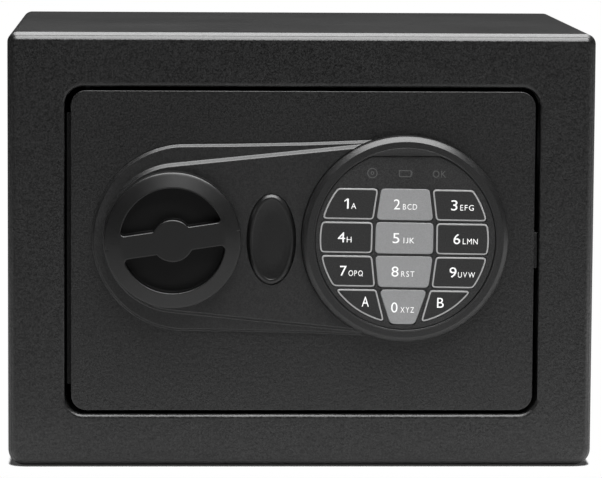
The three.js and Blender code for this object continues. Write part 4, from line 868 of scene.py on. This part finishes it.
def keypad_bezel():
    """Turned ring with a chord across the top of its opening.

    At each angle a ring's radius is the smaller of its circle and its chord. A bevel's cone rounds into the
    face, and the fine bead on the face is a low arch over its width.
    """
    chord_corner = math.asin(MASK_OPENING[1] / MASK_OPENING[0])
    angle = np.unique(np.concatenate([
        np.linspace(0, 2 * np.pi, 288, endpoint=False), [chord_corner, np.pi - chord_corner]]))
    front, back = ring_low[1], ring_high[1]
    ledge = front + LEDGE_DOWN
    floor = back - RING_FLOOR
    rise = np.maximum(np.sin(angle), 1e-6)
    def ring(radius, y, chord=np.inf):
        reach = np.minimum(radius, chord / rise)
        return np.column_stack([
            keypad_x + reach * np.cos(angle), np.full(len(angle), y), axis_z + reach * np.sin(angle)])
    bevel = RING_R - RING_FACE_R
    cone = [
        (RING_R, front + RING_BEVEL_DOWN + 0.8),
        (RING_R, front + RING_BEVEL_DOWN + 0.25),
        (RING_R - 0.04, front + RING_BEVEL_DOWN + 0.05),
        (RING_R - 0.14, front + RING_BEVEL_DOWN - 0.12),
        (RING_R - bevel * 0.5, front + RING_BEVEL_DOWN * 0.5),
        (RING_FACE_R + 0.12, front + 0.12),
        (RING_FACE_R, front + 0.03),
        (RING_FACE_R - 0.15, front),
        (RING_FACE_R - 0.3, front),
    ]
    radius, chord = MASK_OPENING
    ledge_radius, ledge_chord = MASK_LEDGE
    rings = np.stack([
        ring(0, back),
        ring(RING_R - 0.3, back),
        ring(RING_R, back - 0.3),
        *[ring(r, y) for r, y in cone],
        ring(RING_BEAD_R + RING_BEAD_HALF + 0.1, front),
        *[ring(RING_BEAD_R + RING_BEAD_HALF * out, front - RING_BEAD_RISE * (1 - out**2))
          for out in (1, 0.5, 0, -0.5, -1)],
        ring(radius + 0.2, front, chord + 0.2),
        ring(radius + 0.08, front, chord + 0.08),
        ring(radius, front + 0.08, chord),
        ring(radius, ledge, chord),
        ring(ledge_radius, ledge, ledge_chord),
        ring(ledge_radius, floor, ledge_chord),
        ring(0, floor),
    ])
    hole_x, hole_z = CABLE_HOLE["x"], axis_z + CABLE_HOLE["rise"]
    hole = rod("cable_hole", CABLE_HOLE["r"], (hole_x, floor - 1, hole_z), (hole_x, back + 1, hole_z),
               "y", 32)
    cut = carved(skin("keypad_bezel", rings), [hole])
    return piece("keypad_bezel", cut, "door", panel_black, ["keypad_ring"])


def face_outline(node, count=200):
    """A key's front outline from its solid: front points in order round their middle, spaced evenly."""
    points = mesh_points(frame["nodes"][node].data) / MM
    front = points[points[:, 1] < points[:, 1].min() + 0.01][:, [0, 2]]
    front = np.unique(front.round(3), axis=0)
    middle = (front.min(axis=0) + front.max(axis=0)) / 2
    order = np.argsort(np.arctan2(front[:, 1] - middle[1], front[:, 0] - middle[0]))
    loop = np.vstack([front[order], front[order][:1]])
    along = np.concatenate([[0], np.cumsum(np.linalg.norm(np.diff(loop, axis=0), axis=1))])
    even = np.linspace(0, along[-1], count, endpoint=False)
    outline = np.column_stack([np.interp(even, along, loop[:, k]) for k in range(2)])
    return outline, middle


def softened(outline, passes=3):
    """Each point moved towards the mean of its neighbours, a few times over, which rounds small facets."""
    for _ in range(passes):
        outline = 0.5 * outline + 0.25 * (np.roll(outline, 1, axis=0) + np.roll(outline, -1, axis=0))
    return outline


def key_cap(node, finish):
    """A key: hidden flange, upright side, rounded rim and flat face.

    The attribute edge_distance is a front point's distance in millimetres from the outline's nearest side.
    """
    low, high = extent(node)
    outline, middle = face_outline(node)
    outline = parallel(softened(outline, KEY_PASSES.get(node, USUAL_PASSES)), KEY_GROWTH)
    flange = parallel(outline, KEY_FLANGE - KEY_GROWTH)
    flange_front = high[1] - KEY_FLANGE_THICK
    front = low[1]
    rim = reversed(quarter(KEY_EDGE_R, 5))
    rings = [
        ring_at(np.tile(middle, (len(outline), 1)), high[1]),
        ring_at(flange, high[1]),
        ring_at(flange, flange_front),
        ring_at(outline, flange_front),
        *[ring_at(parallel(outline, -inset), front + depth) for inset, depth in rim],
        *[ring_at(parallel(outline, -inset), front) for inset in (0.45, 0.6, 0.75, 0.9)],
    ]
    inner = rings[-1][:, [0, 2]]
    rings += [ring_at(middle + (inner - middle) * share, front) for share in (0.6, 0.3, 0)]
    mesh = skin(node + "_cap", np.stack(rings))
    points = mesh_points(mesh) / MM
    flat = points[:, [0, 2]]
    side = np.roll(outline, -1, axis=0) - outline
    length = np.linalg.norm(side, axis=1)
    along = ((flat[:, None, :] - outline[None]) * side[None]).sum(axis=2) / length**2
    nearest = outline[None] + np.clip(along, 0, 1)[:, :, None] * side[None]
    distances = np.linalg.norm(flat[:, None, :] - nearest, axis=2).min(axis=1)
    distances[points[:, 1] > front + KEY_EDGE_R + 0.01] = 0
    attribute = mesh.attributes.new("edge_distance", "FLOAT", "POINT")
    attribute.data.foreach_set("value", distances.astype(np.float32))
    return piece(node + "_cap", mesh, node, finish, [node])


def font_letter(letter):
    """Points and faces of a built-in letter as a thin solid in the XY plane, in the text's own units."""
    curve = bpy.data.curves.new("letter", "FONT")
    curve.body = letter
    curve.extrude = LETTER_SOLID
    curve.resolution_u = 6
    holder = bpy.data.objects.new("letter", curve)
    bpy.context.scene.collection.objects.link(holder)
    bpy.context.view_layer.update()
    graph = bpy.context.evaluated_depsgraph_get()
    mesh = bpy.data.meshes.new_from_object(holder.evaluated_get(graph))
    bpy.data.objects.remove(holder)
    return mesh_points(mesh), [tuple(side.vertices) for side in mesh.polygons]


CAP_UNITS = float(np.ptp(font_letter("H")[0][:, 1]))  # height of a capital in the text's own units


def drawn_letter(corners):
    """Points and faces of a thin solid with a flat outline; corners are shares of a capital's height."""
    count = len(corners)
    points = [(x * CAP_UNITS, y * CAP_UNITS, z) for z in (-LETTER_SOLID, LETTER_SOLID) for x, y in corners]
    sides = [(k, (k + 1) % count, (k + 1) % count + count, k + count) for k in range(count)]
    return np.array(points), [tuple(range(count))[::-1], tuple(range(count, 2 * count)), *sides]


def joined(first, second):
    """Two sets of points and faces as one."""
    start = len(first[0])
    moved = [tuple(k + start for k in side) for side in second[1]]
    return np.vstack([first[0], second[0]]), first[1] + moved


def glyph(letter):
    """A letter's points and faces: 1 with its flag, J on the line, Q with a short tail, or built in."""
    if letter == "1":
        return drawn_letter([
            (0, 0), (DIGIT_STROKE, 0), (DIGIT_STROKE, 1), (0, 1), (-0.2, 0.8), (-0.2, 0.68), (0, 0.85)])
    if letter == "J":
        bend = np.radians(np.linspace(0, -130, 14))
        hook = np.column_stack([np.cos(bend), np.sin(bend)])
        outer, inner = 0.26, 0.26 - STROKE
        return drawn_letter([
            (outer, 1), *(hook * outer + [0, outer]), *(hook[::-1] * inner + [0, outer]), (inner, 1)])
    if letter == "Q":
        bowl = font_letter("O")
        middle = (bowl[0][:, 0].min() + bowl[0][:, 0].max()) / 2 / CAP_UNITS
        tail = drawn_letter([
            (middle + 0.02, 0.28), (middle + 0.14, 0.4), (middle + 0.56, 0.0), (middle + 0.44, -0.1)])
        return joined(bowl, tail)
    return font_letter(letter)


def word_mesh(name, words):
    """Letters side by side with even gaps, as one mesh."""
    word, start = (np.empty((0, 3)), []), 0.0
    for letter in words:
        points, faces = glyph(letter)
        points[:, 0] += start - points[:, 0].min()
        start = points[:, 0].max() + LETTER_GAP * CAP_UNITS
        word = joined(word, (points, faces))
    mesh = bpy.data.meshes.new(name)
    mesh.from_pydata(word[0].tolist(), [], word[1])
    return mesh


def lettering(name, words, height, width, middle, front_y, body, finish):
    """Print on a face: the words' middle at a place in the key field, turned with the field."""
    mesh = word_mesh(name, words)
    points = mesh_points(mesh)
    flat = points[:, :2] * [width / np.ptp(points[:, 0]), height / CAP_UNITS]
    flat[:, 0] -= (flat[:, 0].min() + flat[:, 0].max()) / 2
    flat[:, 1] -= height / 2
    flat = turned(flat + middle, keypad_x + FIELD_X, axis_z, FIELD_TILT)
    depth = np.where(points[:, 2] > 0, front_y - PRINT_THICK, front_y + PRINT_THICK)
    placed = np.column_stack([flat[:, 0], depth, flat[:, 1]]) * MM
    mesh.vertices.foreach_set("co", placed.ravel())
    mesh.update()
    merge_doubles(mesh, 1e-7, turn_outwards=True)
    return piece(name, mesh, body, finish)


def key_legends():
    """Each key's digit, and its small letters on the digit's base line."""
    drop = (DIGIT_HEIGHT - LETTER_HEIGHT) / 2
    for key, (digit, digit_x, digit_width, letters, letters_x, letters_width) in LEGENDS.items():
        front = extent(key)[0][1]
        level = SINGLE_LETTER_LEVEL
        for digits, row_level in zip(("123", "456", "789", "0"), ROW_LEVELS):
            if digit in digits:
                level = row_level
        lettering(key + "_digit", digit, DIGIT_HEIGHT, digit_width, (digit_x, level), front,
                  key, print_white)
        if letters:
            place = (letters_x, level - drop)
            lettering(key + "_letters", letters, LETTER_HEIGHT, letters_width, place, front,
                      key, print_white)


def printed_line(name, outline, width, x):
    """A closed printed line on the mask: the outline and its inner parallel, before and behind the film."""
    inner = parallel(outline, -width)
    front = mask_low[1]
    def placed(points, y):
        return ring_at(turned(points + [x, ICON_LEVEL], keypad_x + FIELD_X, axis_z, FIELD_TILT), y)
    rings = np.stack([
        placed(outline, front - PRINT_THICK), placed(inner, front - PRINT_THICK),
        placed(inner, front + PRINT_THICK), placed(outline, front + PRINT_THICK)])
    return piece(name, skin(name, rings, ring_loop=True), "door", print_faint)


def mask_icons():
    """Faint marks over three indicator lamps: a round lamp sign, a battery and the letters OK."""
    lamp_x, battery_x, ok_x = -13.0, -0.1, 13.1
    line, fine_line = 0.35, 0.15
    printed_line("lamp_sign", arc(0, 0, 2.0, 0, 354, 59), line, lamp_x)
    printed_line("lamp_sign_dot", arc(0, 0, 0.7, 0, 345, 23), line, lamp_x)
    printed_line("battery_sign", rounded_box(-2.6, 2.3, -1.35, 1.35, 0.4, 0.4, 5), line, battery_x)
    printed_line("battery_sign_tip", rounded_box(2.35, 2.85, -0.6, 0.6, 0.1, 0.1, 3), fine_line, battery_x)
    lettering("ok_sign", "OK", 2.7, 5.3, (ok_x, ICON_LEVEL), mask_low[1],
              "door", print_faint)


def pocket_outline():
    """Upper finger pocket and the edge of the knob's half disc, counterclockwise from the boss's middle.

    The pocket is boss arc, bar edge, corner arc, outer arc, corner arc and bar edge. Each point has a
    partner on the knob's diameter or rim, so that the face between them is a row of blended rings.
    """
    boss = math.degrees(math.asin(BAR_HALF / BOSS_R))
    corner_z = BAR_HALF + POCKET_FILLET
    corner_x = math.sqrt((POCKET_R - POCKET_FILLET) ** 2 - corner_z**2)
    corner = math.degrees(math.atan2(corner_z, corner_x))
    boss_end = BOSS_R * math.cos(math.radians(boss))
    boss_arc = arc(0, 0, BOSS_R, 90, boss, 16)
    bar = np.column_stack([np.linspace(boss_end, corner_x, 13)[1:-1], np.full(11, BAR_HALF)])
    turn = arc(corner_x, corner_z, POCKET_FILLET, -90, corner, 14)
    outer = arc(0, 0, POCKET_R, corner, 90, 40)[1:]
    right = np.vstack([boss_arc, bar, turn, outer])
    inner_count = len(boss_arc) + len(bar)
    line_reach = corner_x + 1.2  # as far as the bar's points spread along the diameter
    line = np.column_stack([right[:inner_count, 0] * line_reach / corner_x, np.zeros(inner_count)])
    half = len(turn) // 2
    line_end = np.column_stack([np.linspace(line_reach, KNOB_R, half + 1), np.zeros(half + 1)])
    rim_start = arc(0, 0, KNOB_R, 0, corner, len(turn) - half - 1)[1:]
    rim = arc(0, 0, KNOB_R, corner, 90, 40)[1:]
    partner = np.vstack([line, line_end, rim_start, rim])
    def both(points):
        mirrored = points[1:-1][::-1] * [-1, 1]
        return np.vstack([points, mirrored])
    return both(right), both(partner)


def crown_y(points, top_y):
    """Face of the knob: flat in the middle, a parabola into a cone, and a quarter round at the rim."""
    radius = np.linalg.norm(points, axis=1)
    beyond = np.clip(radius - CROWN_R, 0, None)
    eased = np.where(beyond < CROWN_EASE, beyond**2 / (2 * CROWN_EASE), beyond - CROWN_EASE / 2)
    cone = CROWN_SLOPE * eased
    past = np.clip(radius - (KNOB_R - RIM_ROUND), 0, RIM_ROUND)
    return top_y + cone + RIM_ROUND - np.sqrt(np.clip(RIM_ROUND**2 - past**2, 0, None))


def knob_grip():
    """Knob with two finger pockets: two mirrored halves of blended rings, and a turned rim and back."""
    front, back = knob_low[1], knob_high[1]
    floor = back - POCKET_FLOOR
    pocket, partner = pocket_outline()
    heart = np.array([0, POCKET_HEART])
    rings = [ring_at(heart + (parallel(pocket, -FLOOR_FILLET) - heart) * share, floor)
             for share in (0, 0.35, 0.7, 0.93)]
    for a in np.linspace(0, math.pi / 2, 6):
        inset = FLOOR_FILLET * (1 - math.sin(a))
        rings.append(ring_at(parallel(pocket, -inset), floor - FLOOR_FILLET * (1 - math.cos(a))))
    for a in np.linspace(0, math.pi / 2, 6):
        edge = parallel(pocket, POCKET_EDGE_R * (1 - math.cos(a)))
        rings.append(ring_at(edge, crown_y(edge, front) + POCKET_EDGE_R * (1 - math.sin(a))))
    start = parallel(pocket, POCKET_EDGE_R)
    round_start = (KNOB_R - RIM_ROUND - POCKET_R) / (KNOB_R - POCKET_R)
    round_shares = round_start + (1 - round_start) * np.sin(np.linspace(0, math.pi / 2, 9)[1:])
    shares = [*np.linspace(0, round_start, 9)[1:], *round_shares]
    for share in [0.03, *shares]:
        face = start + (partner - start) * share
        rings.append(ring_at(face, crown_y(face, front)))
    upper = np.stack(rings)
    lower = upper * [1, 1, -1]
    rows, columns, _ = upper.shape
    rim_points = partner[np.linalg.norm(partner, axis=1) > KNOB_R - 1e-6]
    rim_points = np.unique(np.vstack([rim_points, rim_points * [1, -1]]).round(6), axis=0)
    rim_angle = np.sort(np.unique(np.arctan2(rim_points[:, 1], rim_points[:, 0]).round(7)))
    rim_angle = rim_angle[rim_angle > -math.pi + 1e-5]
    rim_y = float(crown_y(np.array([[KNOB_R, 0.0]]), front)[0])
    profile = [
        (KNOB_R, rim_y), (KNOB_R, rim_y + 0.4), (KNOB_R, back - KNOB_BACK_BEVEL - 0.2),
        (KNOB_R, back - KNOB_BACK_BEVEL), (KNOB_R - KNOB_BACK_BEVEL, back), (SHAFT_HOLE_R, back),
        (SHAFT_HOLE_R, back - SHAFT_HOLE_DEPTH), (0, back - SHAFT_HOLE_DEPTH),
    ]
    rim = np.stack([
        np.column_stack([r * np.cos(rim_angle), np.full(len(rim_angle), y), r * np.sin(rim_angle)])
        for r, y in profile
    ])
    half_faces = quad_grid(rows, columns)
    points = np.vstack([upper.reshape(-1, 3), lower.reshape(-1, 3), rim.reshape(-1, 3)])
    faces = np.vstack([
        half_faces, half_faces[:, ::-1] + rows * columns,
        quad_grid(len(profile), len(rim_angle)) + 2 * rows * columns,
    ])
    flat = turned(points[:, [0, 2]], knob_x, axis_z, KNOB_TILT)
    points = np.column_stack([flat[:, 0], points[:, 1], flat[:, 1]])
    mesh = bpy.data.meshes.new("knob_grip")
    mesh.from_pydata((points * MM).tolist(), [], faces.tolist())
    merge_doubles(mesh, 2e-6, turn_outwards=True)
    made = piece("knob_grip", mesh, "turn_knob", moulded_black, ["knob"], sharp=50)
    # painted shade: faces deep in the pockets take the darker pocket material
    mesh.materials.append(pocket_painted_shade)
    centres = face_centres(mesh)
    deep = centres[:, 1] > front + POCKET_PAINTED_SHADE
    inside = np.hypot(centres[:, 0] - knob_x, centres[:, 2] - axis_z) < POCKET_R + 0.1
    ahead = centres[:, 1] < floor + 0.01
    paint_faces(mesh, deep & inside & ahead)
    return made


def oval_cover():
    """Oval cap: side, rounded bevel, rim, shallow dish.

    Each ring is the ellipse moved in along its normals; a station is that inset and the ring's depth.
    """
    angle = np.linspace(0, 2 * np.pi, 192, endpoint=False)
    a, b = oval_half
    ellipse = np.column_stack([oval_x + a * np.cos(angle), oval_z + b * np.sin(angle)])
    front = oval_low[1]
    back = front + COVER_THICK
    middle = np.tile([oval_x, oval_z], (len(angle), 1))
    stations = [
        (0.15, back), (0, back - 0.15), (0, front + 1.15),
        (0.03, front + 1.0), (0.14, front + 0.84), (0.5, front + 0.5), (0.9, front + 0.14),
        (1.05, front + 0.04), (1.25, front), (COVER_RIM, front), (COVER_RIM + 0.08, front + 0.03),
        (COVER_RIM + 0.2, front + COVER_DISH - 0.03), (COVER_RIM + 0.3, front + COVER_DISH),
    ]
    rings = [ring_at(middle, back)]
    rings += [ring_at(parallel(ellipse, -inset), y) for inset, y in stations]
    inner = rings[-1][:, [0, 2]]
    rings += [ring_at(middle + (inner - middle) * share, front + COVER_DISH) for share in (0.6, 0)]
    return piece("oval_cover", skin("oval_cover", np.stack(rings)), "key_cover",
                 moulded_black, ["key_cover"])


def battery_cell(node):
    """A round cell turned about its length: radius and place of base, sleeve, crimped shoulder and button.

    Faces near the axis are bare steel, and the sleeve's faces near the base are its pale band.
    """
    low, high = extent(node)
    middle = (low + high) / 2
    radius = (high[2] - low[2]) / 2
    left, right = low[0], high[0]
    shoulder, band_end = right - CRIMP, left + SLEEVE_BAND
    profile = [
        (0, left + 0.25), (4.4, left + 0.25), (4.7, left), (6.6, left), (6.75, left + 0.12),
        (radius - 0.15, left), (radius, left + 0.25), (radius, band_end), (radius, band_end + 0.02),
        (radius, shoulder - 0.3), (radius - 0.12, shoulder - 0.05), (radius - 0.4, shoulder),
        (5.9, shoulder), (5.7, shoulder - 0.35), (4.2, shoulder - 0.35), (3.9, shoulder),
        (2.75, shoulder), (2.75, right - 0.3), (2.45, right), (0, right),
    ]
    cell = turned_bar(node + "_cell", (0, middle[1], middle[2]), profile, "x", 64)
    made = piece(node + "_cell", cell, "door", battery_wrap, [node])
    cell.materials.append(bright_steel)
    cell.materials.append(battery_band)
    centres = face_centres(cell)
    away = np.hypot(centres[:, 1] - middle[1], centres[:, 2] - middle[2])
    bare = away < radius - SLEEVE_LAP
    band = (centres[:, 0] < band_end) & ~bare
    paint_faces(cell, np.where(bare, 1, np.where(band, 2, 0)))
    return made


# Solids that keep their shape and get rounded edges


def dressed(node, finish, bevel, sharp=32, segments=2):
    """A copy of a solid with its doubles merged, its flat faces joined and its edges rounded."""
    source = frame["nodes"][node]
    mesh = source.data.copy()
    work = bmesh.new()
    work.from_mesh(mesh)
    # finely split faces join again, so that the bevel meets whole edges
    bmesh.ops.remove_doubles(work, verts=work.verts, dist=1.5e-6)
    bmesh.ops.dissolve_limit(work, angle_limit=math.radians(0.6), verts=work.verts, edges=work.edges)
    work.to_mesh(mesh)
    work.free()
    for name in [a.name for a in mesh.attributes if a.name in ("custom_normal", "UVMap", "sharp_edge")]:
        mesh.attributes.remove(mesh.attributes[name])
    made = piece(node + "_dressed", mesh, source["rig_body"], finish, [node], sharp)
    rounding = made.modifiers.new("rounded_edges", "BEVEL")
    rounding.width = bevel * MM
    rounding.segments = segments
    rounding.limit_method = "ANGLE"
    rounding.angle_limit = math.radians(sharp)
    rounding.harden_normals = True
    return made


# Node: slot, finish and the rounding of its edges
DRESSED = {
    "rear_panel": ("powder_coat", powder_coat, 0.7),
    "door_stop": ("powder_coat", powder_coat, 0.2),
    "upper_hinge_bush": ("brass", blackened_steel, 0.2),
    "lower_hinge_bush": ("brass", blackened_steel, 0.2),
    # painted shade: the hinge leaf takes a darker black for the shade in the gap
    "hinge_leaf": ("powder_coat", hinge_leaf_painted_shade, 0.25),
    "upper_hinge_pin": ("bright_steel", blackened_steel, 0.3),
    "lower_hinge_pin": ("bright_steel", blackened_steel, 0.3),
    "keypad_mask": ("keypad_overlay", overlay_black, 0.08),
    "keypad_board": ("circuit_board", circuit_board, 0.1),
    "keypad_cable": ("cable_grey", cable_grey, 0.15),
    "knob_shaft": ("bright_steel", bright_steel, 0.2),
    "knob_bush": ("brass", brass, 0.2),
    "knob_clip": ("bright_steel", bright_steel, 0.12),
    "crank": ("zinc_steel", zinc_steel, 0.3),
    "lock_cylinder": ("zinc_steel", zinc_steel, 0.3),
    "lock_nut": ("zinc_steel", zinc_steel, 0.3),
    "lock_plug": ("brass", brass, 0.2),
    "lock_cam": ("zinc_steel", zinc_steel, 0.2),
    "bolt_plate": ("zinc_steel", zinc_steel, 0.25),
    "blocking_pin": ("bright_steel", bright_steel, 0.2),
    "upper_bolt": ("bright_steel", bright_steel, 0.3),
    "lower_bolt": ("bright_steel", bright_steel, 0.3),
    "bolt_guide": ("zinc_steel", zinc_steel, 0.3),
    "left_guide_stud": ("bright_steel", bright_steel, 0.2),
    "right_guide_stud": ("bright_steel", bright_steel, 0.2),
    "solenoid_body": ("coil_wrap", coil_wrap, 0.4),
    "solenoid_plunger": ("bright_steel", bright_steel, 0.2),
    "inner_cover": ("black_plastic", moulded_black, 0.6),
    "battery_tray": ("black_plastic", moulded_black, 0.2),
    "battery_cover": ("black_plastic", moulded_black, 0.2),
    "control_board": ("circuit_board", circuit_board, 0.1),
    "reset_button": ("reset_red", reset_red, 0.3),
    **{f"cover_screw_{number}": ("zinc_steel", zinc_steel, 0.15) for number in range(1, 5)},
}


# Studio


TABLE_REACH = 4.0  # metres
TABLE_TOP = -5e-5  # metres, just under the safe
SHADOW_REACH = 0.004  # metres of contact shadow


def studio_floor():
    """White table: plain white to the camera apart from the shadow where the safe stands.

    To light and gloss it has a matt tone by place, painted light pooled round the safe, so that the black
    paint mirrors a dim room and its lower edges a pale table. The tone rises towards the safe in three
    steps, far, near and foot. Tilted makes the first two paler to the right and beside the safe, and within
    fades the last one there.
    """
    reach, top = TABLE_REACH, TABLE_TOP
    mesh = bpy.data.meshes.new("table_top")
    corners = [(-reach, -reach, top), (reach, -reach, top), (reach, reach, top), (-reach, reach, top)]
    mesh.from_pydata(corners, [], [(0, 1, 2, 3)])
    made = bpy.data.materials.new("white_table")
    made.use_nodes = True
    tree = made.node_tree
    tree.nodes.clear()
    place = add(tree, "ShaderNodeTexCoord")
    split = add(tree, "ShaderNodeSeparateXYZ", {0: place.outputs["Object"]})
    aside = add(tree, "ShaderNodeMath", {0: split.outputs["X"]}, operation="ABSOLUTE")
    beside = ramp(tree, aside.outputs[0], 0.15, 0.4, 0.9, 1.45)
    tilted = add(tree, "ShaderNodeMath", {
        0: split.outputs["X"], 1: 0.7, 2: beside.outputs[0]}, operation="MULTIPLY_ADD")
    near = ramp(tree, split.outputs["Y"], -0.42, -0.2, 0, 0.07)
    foot = ramp(tree, split.outputs["Y"], -0.19, -0.12, 0.03, 0.26)
    far = ramp(tree, split.outputs["Y"], -1.5, -0.9, 0, 0.17)
    both = add(tree, "ShaderNodeMath", {0: near.outputs[0], 1: far.outputs[0]})
    within = ramp(tree, aside.outputs[0], 0.125, 0.19, 1, 0.3)
    ahead = add(tree, "ShaderNodeMath", {0: foot.outputs[0], 1: within.outputs[0]}, operation="MULTIPLY")
    # painted light: the table's tone pools pale round the safe and to its right, as a lit patch and bounce
    pale = add(tree, "ShaderNodeMath", {0: both.outputs[0], 1: tilted.outputs[0], 2: ahead.outputs[0]},
               operation="MULTIPLY_ADD")
    lit = add(tree, "ShaderNodeBsdfDiffuse", {"Color": pale.outputs[0]})
    shade = add(tree, "ShaderNodeAmbientOcclusion", {"Distance": SHADOW_REACH}, samples=16)
    contrast = ramp(tree, shade.outputs["AO"], 0.62, 0.69, 0.055, 1)
    seen = add(tree, "ShaderNodeEmission", {"Color": contrast.outputs[0], "Strength": 1.0})
    ray = add(tree, "ShaderNodeLightPath")
    mix = add(tree, "ShaderNodeMixShader", {
        0: ray.outputs["Is Camera Ray"], 1: lit.outputs[0], 2: seen.outputs[0]})
    out = add(tree, "ShaderNodeOutputMaterial")
    tree.links.new(mix.outputs[0], out.inputs["Surface"])
    mesh.materials.append(made)
    table = bpy.data.objects.new("table_top", mesh)
    bpy.context.scene.collection.objects.link(table)


def softbox(name, place, target, size, power):
    """A rectangular lamp that looks at a target; places and sizes in metres, power in watts."""
    data = bpy.data.lights.new(name, "AREA")
    data.shape = "RECTANGLE"
    data.size, data.size_y = size
    data.energy = power
    lamp = bpy.data.objects.new(name, data)
    lamp.location = place
    lamp.rotation_euler = (Vector(target) - Vector(place)).to_track_quat("-Z", "Y").to_euler()
    bpy.context.scene.collection.objects.link(lamp)
    return lamp


def studio_world():
    """White to the camera and through glass, soft grey light, and to gloss a dim room, lighter behind."""
    world = bpy.data.worlds.new("studio")
    bpy.context.scene.world = world
    world.use_nodes = True
    tree = world.node_tree
    tree.nodes.clear()
    ray = add(tree, "ShaderNodeLightPath")
    place = add(tree, "ShaderNodeTexCoord")
    split = add(tree, "ShaderNodeSeparateXYZ", {0: place.outputs["Generated"]})
    behind = ramp(tree, split.outputs["Y"], 0.55, 0.98, 0.017, 0.028)
    glossy = add(tree, "ShaderNodeBackground", {"Color": behind.outputs[0], "Strength": 1.0})
    soft = add(tree, "ShaderNodeBackground", {"Color": (0.3, 0.3, 0.3, 1), "Strength": 1.0})
    white = add(tree, "ShaderNodeBackground", {"Color": (1, 1, 1, 1), "Strength": 1.0})
    seen = add(tree, "ShaderNodeMath", {
        0: ray.outputs["Is Camera Ray"], 1: ray.outputs["Is Transmission Ray"]}, operation="MAXIMUM")
    by_gloss = add(tree, "ShaderNodeMixShader", {
        0: ray.outputs["Is Glossy Ray"], 1: soft.outputs[0], 2: glossy.outputs[0]})
    mix = add(tree, "ShaderNodeMixShader", {
        0: seen.outputs[0], 1: by_gloss.outputs[0], 2: white.outputs[0]})
    out = add(tree, "ShaderNodeOutputWorld")
    tree.links.new(mix.outputs[0], out.inputs["Surface"])


cabinet_shell()
felt_mat()
door_skin()
front_moulding()
keypad_bezel()
for key in LEGENDS:
    if key in GREY_KEYS:
        key_cap(key, key_grey)
    else:
        key_cap(key, key_black)
key_legends()
mask_icons()
knob_grip()
oval_cover()
for number in range(1, 5):
    battery_cell(f"battery_{number}")
for node, (slot, finish, bevel) in DRESSED.items():
    dressed(node, finish, bevel)

spring = frame["nodes"]["plunger_spring"]
spring.data.materials.clear()
spring.data.materials.append(bright_steel)

studio_floor()
studio_world()
softbox("overhead_softbox", place=(0.08, -0.1, 1.2), target=(0.08, -0.1, 0), size=(1.25, 1.6), power=52)
softbox("front_softbox", place=(0.3, -1.25, 1.25), target=(0, -0.08, 0.08), size=(1.0, 0.4), power=12)
